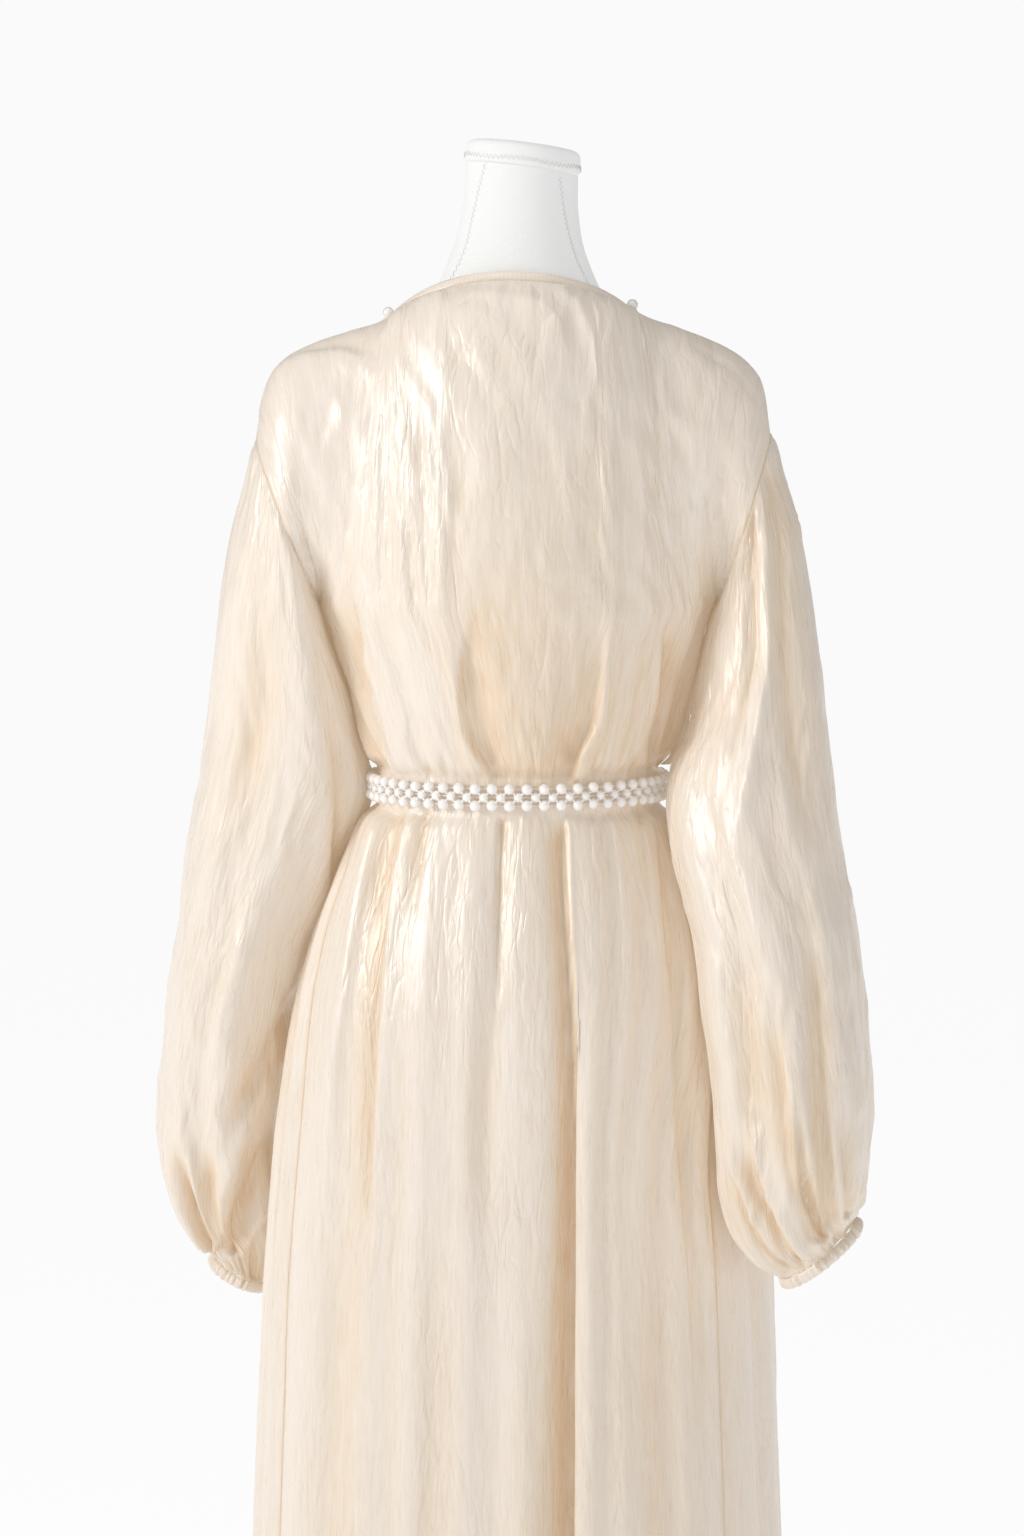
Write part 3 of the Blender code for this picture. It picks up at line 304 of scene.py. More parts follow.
rightSleeve = rowsOf(
    ringColumns,
    (0.2125, 1.3090, 0.1525, 1.160, 0.006, 0.066, 0.0010),
    (0.2250, 1.2605, 0.1435, 1.120, 0.018, 0.069, 0.0030),
    (0.2310, 1.2190, 0.1402, 1.098, 0.027, 0.070, 0.0040),
    (0.2380, 1.1770, 0.1346, 1.078, 0.037, 0.070, 0.0045),
    (0.2440, 1.1295, 0.1246, 1.058, 0.049, 0.071, 0.0050),
    (0.2485, 1.0820, 0.1206, 1.034, 0.060, 0.072, 0.0055),
    (0.2545, 1.0310, 0.1222, 1.004, 0.072, 0.073, 0.0060),
    (0.2620, 0.9840, 0.1295, 0.968, 0.083, 0.074, 0.0065),
    (0.2710, 0.9330, 0.1400, 0.925, 0.094, 0.076, 0.0070),
    (0.2770, 0.8780, 0.1465, 0.876, 0.103, 0.077, 0.0075),
    (0.2830, 0.8200, 0.1540, 0.815, 0.111, 0.076, 0.0080),
    (0.2820, 0.7730, 0.1570, 0.766, 0.114, 0.073, 0.0090),
    (0.2780, 0.7350, 0.1605, 0.724, 0.113, 0.066, 0.0095),
    (0.2760, 0.7180, 0.1720, 0.690, 0.111, 0.056, 0.0080),
    (0.2735, 0.7100, 0.1890, 0.666, 0.110, 0.046, 0.0045),
)
leftCuff = dict(x=0.2375, y=-0.084, z=0.6120, halfWidth=0.027, depth=0.040, tilt=26.0)
rightCuff = dict(x=0.2427, y=0.108, z=0.6740, halfWidth=0.0384, depth=0.036, tilt=39.0)
sleeveFoldCount = 7

# Rings of the dress form: height, half width, half depth, place of the middle, and how
# square (over 2) or pointed (under 2) the ring is
formRings = rowsOf(
    "z halfWidth depth y power",
    (formBottom, 0.140, 0.098, 0.000, 2.2),
    (0.712, 0.152, 0.108, 0.000, 2.2),
    (0.800, 0.158, 0.112, 0.000, 2.2),
    (0.880, 0.150, 0.108, 0.000, 2.1),
    (0.950, 0.130, 0.096, 0.000, 2.0),
    (1.000, 0.114, 0.089, 0.000, 2.0),
    (1.028, 0.1117, 0.0940, 0.000, 2.0),
    (1.052, 0.1117, 0.0940, 0.000, 2.0),
    (1.090, 0.119, 0.098, -0.002, 2.0),
    (1.150, 0.133, 0.108, -0.005, 2.1),
    (1.210, 0.146, 0.110, -0.005, 2.1),
    (1.270, 0.158, 0.100, -0.002, 1.9),
    (1.320, 0.167, 0.090, 0.001, 1.7),
    (1.360, 0.171, 0.080, 0.003, 1.45),
    (1.380, 0.167, 0.076, 0.004, 1.25),
    (1.3935, 0.157, 0.073, 0.004, 1.15),
    (1.4013, 0.1465, 0.070, 0.004, 1.12),
    (1.4085, 0.123, 0.066, 0.003, 1.15),
    (1.418, 0.092, 0.057, 0.002, 1.4),
    (1.432, 0.0735, 0.051, 0.001, 1.8),
    (1.455, 0.0608, 0.049, 0.000, 2.0),
    (1.490, 0.0492, 0.049, -0.002, 2.0),
    (1.525, 0.0455, 0.048, -0.003, 2.0),
    (1.5385, 0.0455, 0.048, -0.003, 2.0),
)
formNeckLean = 7.0
formNeckShift = -0.003


# The surfaces that the cloth follows

def smoothStep(f):
    f = np.clip(f, 0.0, 1.0)
    return f * f * (3 - 2 * f)


def hermite(f, a, b, start, end):
    return ((2 * f ** 3 - 3 * f ** 2 + 1) * a + (f ** 3 - 2 * f ** 2 + f) * start
            + (3 * f ** 2 - 2 * f ** 3) * b + (f ** 3 - f ** 2) * end)


def curveValue(places, values, where):
    # A smooth curve through the values that doesn't overshoot them
    if where <= places[0]:
        return values[0]
    if where >= places[-1]:
        return values[-1]
    last = len(places) - 1
    i = 0
    while where > places[i + 1]:
        i += 1

    def slope(k):
        before = (values[k] - values[k - 1]) / (places[k] - places[k - 1])
        after = (values[k + 1] - values[k]) / (places[k + 1] - places[k])
        return 0.0 if before * after <= 0.0 else 2.0 * before * after / (before + after)

    step = places[i + 1] - places[i]
    start = values[1] - values[0] if i == 0 else slope(i) * step
    end = values[last] - values[last - 1] if i + 1 == last else slope(i + 1) * step
    return hermite((where - places[i]) / step, values[i], values[i + 1], start, end)


def ringValue(name, z):
    return curveValue([row["z"] for row in bodyRings], [row[name] for row in bodyRings], z)


def foldValue(fold, name, z):
    values = list(fold[name])
    return curveValue(foldHeights, values[:waistLevel + 1] + values[waistLevel:], z)


# The share of the folds' depth that shows, up the garment, and the widest fold's angle
foldEase = dict(places=(0.06, 0.70, 0.98, 1.03, 1.05, 1.10, 1.188), shares=(0.60, 0.60, 0.42, 1.0, 1.0, 0.70, 0.60),
                broad=13.0)


def foldDepths(angles, z):
    # How far the cloth lies inside its ring: full at each fold's bottom line, none midway
    lines = [(foldValue(fold, "angle", z), foldValue(fold, "depth", z)) for fold in folds]
    lines.append((lines[0][0] + 360.0, lines[0][1]))
    ease = curveValue(foldEase["places"], foldEase["shares"], z)
    turned = np.where(angles < lines[0][0], angles + 360.0, angles)
    turned = np.where(turned > lines[-1][0], turned - 360.0, turned)
    depths = np.zeros(len(angles))
    for (start, startDepth), (end, endDepth) in zip(lines, lines[1:]):
        f = (turned - start) / (end - start)
        share = (0.5 + 0.5 * np.cos(2 * np.pi * f)) ** max(1.0, (end - start) / foldEase["broad"])
        found = 0.001 * share * (startDepth + (endDepth - startDepth) * f) * ease
        depths = np.where((f >= 0) & (f <= 1), found, depths)
    return depths


def lapRises(angles):
    return lapRise * smoothStep((-angles - 105.0) / 40.0)


def bodyRow(angles, z, rise=0.0):
    turn = np.radians(angles)
    side, back = np.sin(turn), np.cos(turn)
    halfWidth = ringValue("halfWidth", z)
    depth = np.where(back > 0, ringValue("back", z), ringValue("front", z))
    outward = np.stack([side / halfWidth, back / depth, 0 * side], axis=-1)
    outward /= np.linalg.norm(outward, axis=-1, keepdims=True)
    points = np.stack([halfWidth * side, depth * back, 0 * side + z], axis=-1)
    return points + outward * (rise - foldDepths(angles, z))[:, None]


def shoulderPoint(side, f):
    table = leftShoulder if side > 0 else rightShoulder
    lengths = [0.0]
    for a, b in zip(table, table[1:]):
        lengths.append(lengths[-1] + math.hypot(b["x"] - a["x"], b["z"] - a["z"]))
    x, z = (curveValue(lengths, [row[key] for row in table], f * lengths[-1]) for key in ("x", "z"))
    return np.array([side * x, 0, z])


def neckPoint(turn, lift=0.0, sink=0.0):
    # turn is 90 degrees at the left shoulder, 0 at the back and -90 at the right shoulder
    t = math.radians(turn)
    left, right = leftShoulder[0], rightShoulder[0]
    middle = 0.5 * (left["x"] - right["x"])
    half = 0.5 * (left["x"] + right["x"])
    sideZ = left["z"] + (right["z"] - left["z"]) * (0.5 - 0.5 * math.sin(t))
    level = max(0.0, math.cos(t))
    point = Vector((middle + half * math.sin(t), neckDepth * level, sideZ))
    point.z += (napeHeight - sideZ) * level ** neckSlope
    along = Vector((half * math.cos(t), -neckDepth * math.sin(t), -0.033 * math.sin(t))).normalized()
    up = Vector((-0.75 * math.sin(t), -0.40 * level, 0.52 + 0.40 * level)).normalized()
    inward = along.cross(up).normalized()
    if inward.z > 0:
        inward.negate()
    return np.array(point + up * lift + inward * sink)


def armholePoint(side, f, back):
    shoulder = (leftShoulder if side > 0 else rightShoulder)[-1]
    top = np.array([side * shoulder["x"], 0, shoulder["z"]])
    bottom = np.array([side * ringValue("halfWidth", underarmHeight), 0, underarmHeight])
    bulge = armholeBulge["back"] if back > 0 else -armholeBulge["front"]
    turn = math.pi * (1 - f)
    shift = bulge * math.sin(turn) + 0.5 * seamGap * back
    return (top + bottom) / 2 + (top - bottom) / 2 * math.cos(turn) + np.array([0, shift, 0])


def armholeNormal(side):
    across = armholePoint(side, 1, 1) - armholePoint(side, 0, 1)
    found = np.array([side * across[2], 0, -side * across[0]])
    return found / np.linalg.norm(found)


def upperRow(angles, f, tops, edges, rises):
    # Between the underarm ring (f=0) and the shoulder line or neckline (f=1)
    quarter = math.pi * f / 2
    fullness = 1 - 0.45 * np.abs(np.sin(np.radians(angles)))
    backShare = 1 - max(0.0, math.cos(quarter)) ** fullness
    shares = np.stack([0 * backShare + f, backShare, 0 * backShare + math.sin(quarter)], axis=-1)
    bottom = bodyRow(angles, underarmHeight, rises * (1 - f))
    points = bottom + (tops - bottom) * shares
    for weights, edgeBottom, edgeTop, side, back in edges:
        straight = edgeBottom + (edgeTop - edgeBottom) * shares
        points += (armholePoint(side, f, back) - straight) * weights[:, None]
    return points


def sideWeights(degrees):
    # How much of the armhole's own curve each column takes, by its distance from it
    return np.maximum(0.0, 1.0 - degrees / 180 / 0.36) ** 2


# Creases, crinkles and the cloth grids

def creaseBump(crease, share, distance):
    low, high = crease["fade"]
    envelope = smoothStep(share / low) * smoothStep((1 - share) / high)
    width = np.where(distance < 0, crease["left"], crease["right"])
    return 0.001 * crease["height"] * np.exp(-(distance / width) ** 2) * envelope


def creaseHeights(across, along, creases):
    # across and along are the sheet's own places in metres
    heights = np.zeros(across.shape)
    for crease in creases:
        places, values = zip(*sorted(crease["path"]))
        dense = np.linspace(places[0], places[-1], 40)
        centre = np.interp(along, dense, [curveValue(places, values, place) for place in dense])
        share = (along - places[0]) / (places[-1] - places[0])
        heights += creaseBump(crease, share, across - centre)
    return heights


def creaseShade(creases, across, along):
    # Warm shade in the troughs, a little wider than they are, from 0 to 1
    wide = [dict(crease, left=1.25 * crease["left"] + 0.001, right=1.25 * crease["right"] + 0.001)
            for crease in creases if crease["height"] < 0]
    return np.clip(0.5 - creaseHeights(across, along, wide) / 0.013, 0.0, 1.0)


def latticeNoise(u, v, seed):
    # Smooth value noise between -1 and 1 with cells one unit wide
    values = np.random.default_rng(seed).uniform(-1, 1, (64, 64))
    column, row = np.floor(u).astype(int), np.floor(v).astype(int)
    fu, fv = smoothStep(u - column), smoothStep(v - row)
    a, b = (values[column % 64, k % 64] * (1 - fu) + values[(column + 1) % 64, k % 64] * fu for k in (row, row + 1))
    return a * (1 - fv) + b * fv


# Each band leans this way and that; calm is its share on the smooth skirt
crinkleBands = rowsOf("width length height lean calm ridged",
                      (0.050, 0.190, 1.6, 0.06, 0.75, False),
                      (0.027, 0.085, 0.95, -0.16, 0.22, True),
                      (0.016, 0.052, 1.05, 0.28, 0.16, True),
                      (0.0092, 0.036, 0.50, -0.12, 0.30, True),
                      (0.0052, 0.030, 0.20, 0.05, 0.70, False))


def crinkleHeights(u, v, seed, strength, rumpled=1.0):
    # The fabric's own uneven crinkle, mostly upright; rumpled is 0 where the cloth hangs smooth
    heights = 0.0
    for i, band in enumerate(crinkleBands):
        sway = 0.5 * latticeNoise(u / band["width"] * 0.3, v / band["length"] * 1.3, seed + 50 + i)
        found = latticeNoise((u + band["lean"] * v) / band["width"] + sway, v / band["length"] + 0.6 * sway, seed + i)
        if band["ridged"]:
            found = 1 - 2.4 * np.sqrt(found ** 2 + 0.004)
        share = band["calm"] + (1 - band["calm"]) * rumpled
        heights = heights + 0.001 * band["height"] * strength * share * found
    return heights


def unit(vectors):
    return vectors / np.maximum(np.linalg.norm(vectors, axis=-1, keepdims=True), 1e-9)


def runLengths(points):
    # The distance covered at each of the points
    return np.concatenate([[0], np.cumsum(np.linalg.norm(np.diff(points, axis=0), axis=-1))])


def gridNormals(points, closed):
    # Outward normals of a grid of points, rows first
    acrossStep = np.gradient(points, axis=1)
    if closed:
        acrossStep = np.roll(points, -1, axis=1) - np.roll(points, 1, axis=1)
    return unit(np.cross(acrossStep, np.gradient(points, axis=0)))


def hollowness(points, reach, closed):
    # How far each point lies in a valley, from 0 to 1: behind the middle of its neighbours
    total = np.zeros(points.shape)
    for step in range(1, reach + 1):
        padded = np.pad(points, ((0, 0), (step, step), (0, 0)), mode="wrap" if closed else "edge")
        total += padded[:, 2 * step:] + padded[:, :-2 * step]
    sink = np.sum((total / (2 * reach) - points) * gridNormals(points, closed), axis=-1)
    return np.clip(sink / 0.0060, -1.0, 1.0) * 0.5 + 0.5


def wrapGrid(points, columns, cloth=False):
    # Faces over a grid of points, rows first; columns beyond the last point start again at the first
    rows, count = len(points) - 1, len(points[0])
    bm = bmesh.new()
    bmesh.ops.create_grid(bm, x_segments=columns, y_segments=rows, size=0.5)
    if cloth:
        bm.loops.layers.uv.new("cloth")
        bm.verts.layers.float.new("paintedShade")
    spots = {}
    for v in bm.verts:
        row, column = round((v.co.y + 0.5) * rows), round((v.co.x + 0.5) * columns)
        spots[v] = (row, column)
        v.co = points[row][column % count]
    return bm, spots


def closeUp(bm, dist=0.000001):
    bmesh.ops.remove_doubles(bm, verts=bm.verts[:], dist=dist)
    bmesh.ops.holes_fill(bm, edges=[e for e in bm.edges if e.is_boundary], sides=0)
    bmesh.ops.recalc_face_normals(bm, faces=bm.faces[:])


def clothMesh(name, points, u, v, paintedShade, surface, wall=clothWall, closed=False, filled=False, turned=False):
    # points and paintedShade are grids, rows first; u is each column's place in the cloth and v each row's. The shade
    # grid paints shade into the colour over 0.5 and a paler painted highlight under 0.5.
    # The threads run along v, or along the columns' places in a turned strip.
    bm, spots = wrapGrid(points, len(u) - 1, True)
    uvLayer, paintedShadeLayer = bm.loops.layers.uv["cloth"], bm.verts.layers.float["paintedShade"]
    for vert, (row, column) in spots.items():
        vert[paintedShadeLayer] = paintedShade[row, column % paintedShade.shape[1]]
        for loop in vert.link_loops:
            loop[uvLayer].uv = (v[row], u[column]) if turned else (u[column], v[row])
    if filled:
        closeUp(bm)
    elif closed:
        bmesh.ops.remove_doubles(bm, verts=bm.verts[:], dist=0.000001)
    made = addPiece(name, bm, surface)
    if wall:
        shell = made.modifiers.new("wall", "SOLIDIFY")
        shell.thickness = wall
        shell.offset = -1
    return made


# Rows up the skirt and the blouse: closer together by the belt, where the gathers are short
rowPlan = dict(places=[0.060, 0.066, 0.076, 0.080, 0.30, 0.60, 0.85, 0.95, 1.00, 1.0275, 1.0525, 1.08, 1.188],
               counts=[2, 3, 2, 24, 32, 28, 14, 10, 9, 5, 9, 16])
upperRows = 44
columnsPerFold = 18
crispColumns = 38


def skirtHeights():
    heights = []
    for start, end, count in zip(rowPlan["places"], rowPlan["places"][1:], rowPlan["counts"]):
        heights += [start + (end - start) * k / count for k in range(count)]
    return heights + [rowPlan["places"][-1]]


def columnAngles(first, last, perFold):
    names = [fold["name"] for fold in folds]
    start, end = names.index(first), names.index(last)
    step = 1 if end > start else -1
    places = []
    for i in range(start, end, step):
        crisp = perFold == columnsPerFold and "back_4" in (names[i], names[i + step])
        count = crispColumns if crisp else perFold
        places += [(folds[i], folds[i + step], k / count) for k in range(count)]
    return places + [(folds[end], folds[end], 0.0)]


def anglesAt(places, z):
    lines = {id(fold): fold for a, b, f in places for fold in (a, b)}
    found = {key: foldValue(fold, "angle", z) for key, fold in lines.items()}
    return np.array([found[id(a)] * (1 - f) + found[id(b)] * f for a, b, f in places])


# What the belt, the edges and the hem do to a panel's wrinkles, in metres
panelFinish = dict(hip=0.85, beltCalm=0.20, beltHalf=0.0085, beltFade=0.009, formNear=0.0028, formFar=0.008,
                   formHalf=0.012, formFade=0.040, edgeFade=0.012, edgeLeast=0.06, topRows=5, topLeast=0.1,
                   hemTop=0.0785, hemFade=0.0025, hemRise=0.0005, rumpleFrom=1.02, rumpleFade=0.06,
                   drapeFade=0.05, seamShade=0.0020, reach=7)


def finishPanel(piece, points, creases, surface, drapes=(), paintedPatches=(), lap=1.0, allowances=()):
    # Adds the creases and the crinkle to a panel's grid, and its hem and edges
    look = panelFinish
    rows, columns = points.shape[:2]
    across, along = points[..., 0], points[..., 2]
    # The cloth's own width: each column as far on as it lies at the hip
    hip = int(np.argmin(np.abs(along[:, columns // 2] - look["hip"])))
    u, v = runLengths(points[hip]), runLengths(points[:, columns // 2])
    fromBelt = np.abs(along - waistHeight)
    calm = look["beltCalm"] + (1 - look["beltCalm"]) * smoothStep((fromBelt - look["beltHalf"]) / look["beltFade"])
    calm = calm * lap
    wrinkles = creaseHeights(across, along, creases) * calm
    wrinkles += creaseHeights(along, across, drapes) * smoothStep((along - underarmHeight) / look["drapeFade"])
    rumpled = smoothStep((along - look["rumpleFrom"]) / look["rumpleFade"])
    wrinkles += crinkleHeights(u[None, :], v[:, None], piece["seed"], piece["crinkle"], rumpled) * calm
    # Near the belt the form lies close behind the cloth
    space = look["formNear"] + look["formFar"] * smoothStep((fromBelt - look["formHalf"]) / look["formFade"])
    wrinkles = np.maximum(wrinkles, -space)
    edge = np.minimum(u, u[-1] - u)[None, :]
    wrinkles *= smoothStep(edge / look["edgeFade"] + look["edgeLeast"])
    wrinkles *= smoothStep((np.arange(rows)[::-1] / look["topRows"])[:, None] + look["topLeast"])
    wrinkles += look["hemRise"] * smoothStep((look["hemTop"] - v - hemHeight) / look["hemFade"])[:, None]
    points = points + gridNormals(points, False) * wrinkles[..., None]
    # Painted shade: warm colour in the valleys and along the creases' troughs, paler colour on the crests
    paintedShade = np.maximum(hollowness(points, look["reach"], False), creaseShade(creases, across, along) * calm)
    # The patches paint broad shade (over 0) and highlights (under 0) into the colour
    for patch in paintedPatches:
        (x, z), (width, height) = patch["place"], patch["size"]
        paintedShade = paintedShade + patch["share"] * np.exp(-((across - x) / width) ** 2 - ((along - z) / height) ** 2)
    # Painted shade along the seams on both sides
    paintedShade = np.clip(np.maximum(paintedShade, 0.5 + 0.5 * np.exp(-(edge / look["seamShade"]) ** 2)), 0, 1)
    for place in allowances:
        points, u, v, paintedShade = addAllowance(place, points, u, v, paintedShade)
    return clothMesh(piece["name"], points, u, v, paintedShade, surface)


allowance = dict(length=0.004, sink=0.0022)


def addAllowance(place, points, u, v, paintedShade):
    # A seam allowance that goes on under the neighbouring piece: one more row or column, inside
    axis, end, near = dict(top=(0, -1, -3), first=(1, 0, 2), last=(1, -1, -3))[place]
    at = points.shape[axis] if end else 0
    edge = points.take(end, axis)
    out = edge - points.take(near, axis)
    out *= allowance["length"] / np.maximum(np.linalg.norm(out, axis=-1, keepdims=True), 1e-9)
    line = edge + out - gridNormals(points, False).take(end, axis) * allowance["sink"]
    points, paintedShade = np.insert(points, at, line, axis), np.insert(paintedShade, at, paintedShade.take(end, axis), axis)
    longer = allowance["length"] if end else -allowance["length"]
    if axis:
        return points, np.insert(u, at, u[end] + longer), v, paintedShade
    return points, u, np.insert(v, at, v[end] + longer), paintedShade


# Short uneven tucks where the belt draws the cloth in
tucks = dict(reach=(0.35, 1.0), skipped=0.45, width=(0.0012, 0.0026), height=(0.7, 1.9), lower=0.65,
             wider=(0.7, 1.8), step=(0.005, 0.013), above=0.035)


def beltGathers(start, end, seed, below):
    # start and end are the range of x, and below is how far down the tucks reach
    draw = np.random.default_rng(seed)
    made = []
    x = start
    while x < end:
        for way, most in ((1, tucks["above"]), (-1, below)):
            reach = draw.uniform(*tucks["reach"]) * most
            if way < 0 and draw.uniform() < tucks["skipped"]:
                continue
            lean = 1 + way * 0.15 * reach / most + (0.55 * reach if way < 0 else 0.9 * reach)
            first, last = waistHeight + way * 0.008, waistHeight + way * (0.014 + reach)
            width = draw.uniform(*tucks["width"])
            height = -draw.uniform(*tucks["height"]) * (tucks["lower"] if way < 0 else 1.0)
            made.append(dict(height=height, left=width, right=width * draw.uniform(*tucks["wider"]),
                             fade=(0.1, 0.8) if way > 0 else (0.8, 0.1),
                             path=((first, x), ((first + last) / 2, x * (1 + (lean - 1) * 0.5)), (last, x * lean))))
        x += draw.uniform(*tucks["step"])
    return made


# Back panel

backPiece = dict(name="backPanel", seed=11, crinkle=1.0)
backCreases = creaseRows(
    ("blouseLeft", -7.0, 14, 110, 0.06, 0.5, 10450, 1010, 10750, 1099, 11190, 1190, 11690, 1284, 12260, 1350),
    ("blouseLeftRidge", 2.6, 130, 26, 0.08, 0.5, 10450, 985, 10750, 1074, 11190, 1165, 11690, 1259,
     12260, 1325),
    ("blouseLeftSide", -2.4, 14, 40, 0.1, 0.6, 10490, 1094, 10700, 1175, 10985, 1290, 11400, 1400),
    ("blouseLeftHook", -3.0, 50, 30, 0.1, 0.6, 10490, 670, 10690, 781, 10930, 858, 11120, 873),
    ("blouseValley", -7.0, 170, 36, 0.06, 0.8, 10476, 151, 10624, 206, 10773, 300, 10968, 394, 11240, 432,
     11540, 392, 11900, 330, 12340, 281),
    ("blouseRidge", 6.0, 120, 26, 0.06, 0.7, 10476, -412, 10611, -460, 10807, -534, 10993, -630,
     11228, -666, 11473, -702, 11718, -701, 12150, -640),
    ("blouseRidgeShade", -5.0, 26, 140, 0.06, 0.8, 10476, -362, 10611, -410, 10807, -484, 10993, -575,
     11228, -606, 11473, -640, 11950, -600),
    ("blouseRight", -7.0, 100, 14, 0.06, 0.6, 10518, -1056, 10798, -1094, 11013, -1120, 11302, -1157,
     11691, -1183, 12077, -1227),
    ("blouseRightSide", -2.6, 40, 14, 0.1, 0.6, 10474, -1084, 10594, -1147, 10708, -1240, 10888, -1310),
    ("sideRidgeRight", 3.0, 50, 60, 0.2, 0.5, 10630, -1236, 10920, -1348, 11390, -1427, 11860, -1467),
    ("hookA", -2.2, 30, 20, 0.1, 0.7, 10490, -590, 10720, -620, 10900, -649),
    ("hookB", -2.0, 20, 34, 0.1, 0.7, 10500, -907, 10690, -928, 10880, -950),
    ("hookC", -1.8, 26, 30, 0.1, 0.7, 10490, 574, 10740, 587, 10940, 561),
    ("veeLeftA", 1.5, 30, 16, 0.4, 0.3, 13020, 682, 12910, 761, 12740, 845),
    ("veeLeftB", 1.8, 18, 50, 0.5, 0.3, 13020, 682, 12900, 611, 12720, 540, 12350, 516),
    ("veeRightA", 1.8, 30, 12, 0.4, 0.3, 12770, -1352, 12630, -1312, 12380, -1289),
    ("veeRightB", 1.6, 14, 30, 0.5, 0.3, 12770, -1352, 12630, -1418, 12470, -1461, 12220, -1473),
    ("armholeCrease", -2.6, 100, 26, 0.4, 0.4, 13350, -1663, 13010, -1614, 12690, -1600, 12300, -1540),
    ("armholeRidge", 2.2, 30, 100, 0.4, 0.4, 13250, -1560, 13000, -1520, 12690, -1490, 12300, -1450),
    ("leftShoulderRidge", 1.5, 50, 40, 0.4, 0.4, 14010, 998, 13690, 1050, 13300, 1111, 12810, 1150),
    ("leftArmLine", -1.5, 50, 40, 0.4, 0.4, 13690, 1453, 13300, 1556, 12800, 1590),
    ("neckA", -1.2, 30, 12, 0.7, 0.05, 14460, 47, 14240, 39, 14050, 47),
    ("neckB", -1.4, 12, 34, 0.7, 0.05, 14460, -150, 14230, -166, 13950, -150),
    ("neckC", -1.2, 14, 40, 0.7, 0.05, 14400, -443, 14130, -466, 13830, -488),
    ("skirtMain", -7.4, 11, 130, 0.02, 0.03, 10320, -368, 9945, -380, 9608, -387, 9264, -407, 8753, -433,
     7420, -458, 5970, -446, 4570, -439, 2000, -430, 620, -430),
    ("skirtMainLow", -3.4, 12, 260, 0.02, 0.5, 8600, -438, 7420, -460, 5970, -448, 4570, -441, 2000, -432,
     620, -432),
    ("skirtMainEdge", 3.6, 140, 12, 0.02, 0.03, 10320, -388, 9945, -400, 9608, -407, 9264, -427, 8753, -453,
     7420, -478, 5970, -466, 4570, -459, 2000, -450, 620, -450),
    ("skirtCrisp", -4.4, 85, 12, 0.5, 0.04, 10268, 143, 9776, 158, 9504, 170, 9240, 175, 8600, 190),
    ("skirtCrispValley", -4.0, 100, 120, 0.4, 0.4, 9300, 150, 8520, 221, 7880, 268, 6600, 290),
    ("skirtWedge", -5.0, 14, 75, 0.75, 0.04, 10300, 700, 10137, 736, 9833, 784, 9250, 840),
    ("skirtLeftValley", -7.0, 30, 110, 0.35, 0.04, 10310, 928, 10001, 1000, 9742, 1053, 9112, 1112,
     8050, 1180, 6400, 1230),
    ("skirtLeftRidge", 4.4, 60, 70, 0.4, 0.06, 10250, 1067, 10030, 1169, 9550, 1280, 8890, 1380, 8200, 1481,
     7000, 1540),
    ("thinA", 1.3, 30, 9, 0.5, 0.06, 10272, -621, 10124, -592, 9932, -601, 9665, -660, 8800, -665),
    ("thinB", 1.3, 30, 9, 0.6, 0.06, 10256, -752, 9998, -786, 9812, -811, 9300, -850),
    ("bunchA", -2.6, 20, 34, 0.6, 0.08, 10300, -983, 9940, -1019, 9420, -1055),
    ("edgeLine", -3.0, 100, 12, 0.25, 0.06, 10310, -1062, 10071, -1139, 9712, -1169, 9388, -1184,
     8871, -1228, 7984, -1260, 6355, -1379, 4873, -1467),
    ("bunchC", -2.6, 40, 16, 0.5, 0.06, 10287, -1174, 10046, -1250, 9702, -1320, 9358, -1390, 8838, -1450),
    ("rightBroadRidge", 3.5, 140, 110, 0.3, 0.3, 9600, -1180, 8800, -1330, 7600, -1420, 6000, -1450),
    ("lowerLeftValley", -4.0, 140, 120, 0.2, 0.3, 7600, 1330, 6200, 1400, 4500, 1450, 2000, 1500),
    ("lowerMiddleValley", -3.0, 160, 120, 0.2, 0.4, 7600, 600, 6200, 640, 4500, 700, 2000, 760),
    ("lowerMiddleRidge", 2.6, 100, 160, 0.2, 0.4, 7200, 20, 5600, -20, 4000, -60, 1800, -40),
    ("lowerRightValley", -3.4, 160, 100, 0.2, 0.4, 8000, -980, 6200, -1050, 4500, -1100, 1800, -1150),
)

# Folds that lie across the back: along is now across it, and left is below
backDrapes = creaseRows(
    ("leftDrape", 2.6, 130, 22, 0.2, 0.15, 1049, 13741, 1277, 13876, 1425, 13917, 1731, 13878, 2012, 13742),
    ("leftDrapeShade", -1.8, 18, 80, 0.2, 0.15, 1049, 13785, 1277, 13920, 1425, 13960, 1731, 13918,
     2012, 13782),
    ("rightYoke", -1.6, 40, 12, 0.1, 0.25, -1969, 13414, -1900, 13574, -1758, 13741, -1545, 13900,
     -1328, 13990),
    ("upperRightDrape", 1.6, 100, 60, 0.4, 0.4, -1650, 13150, -1500, 13300, -1250, 13400, -900, 13450),
)

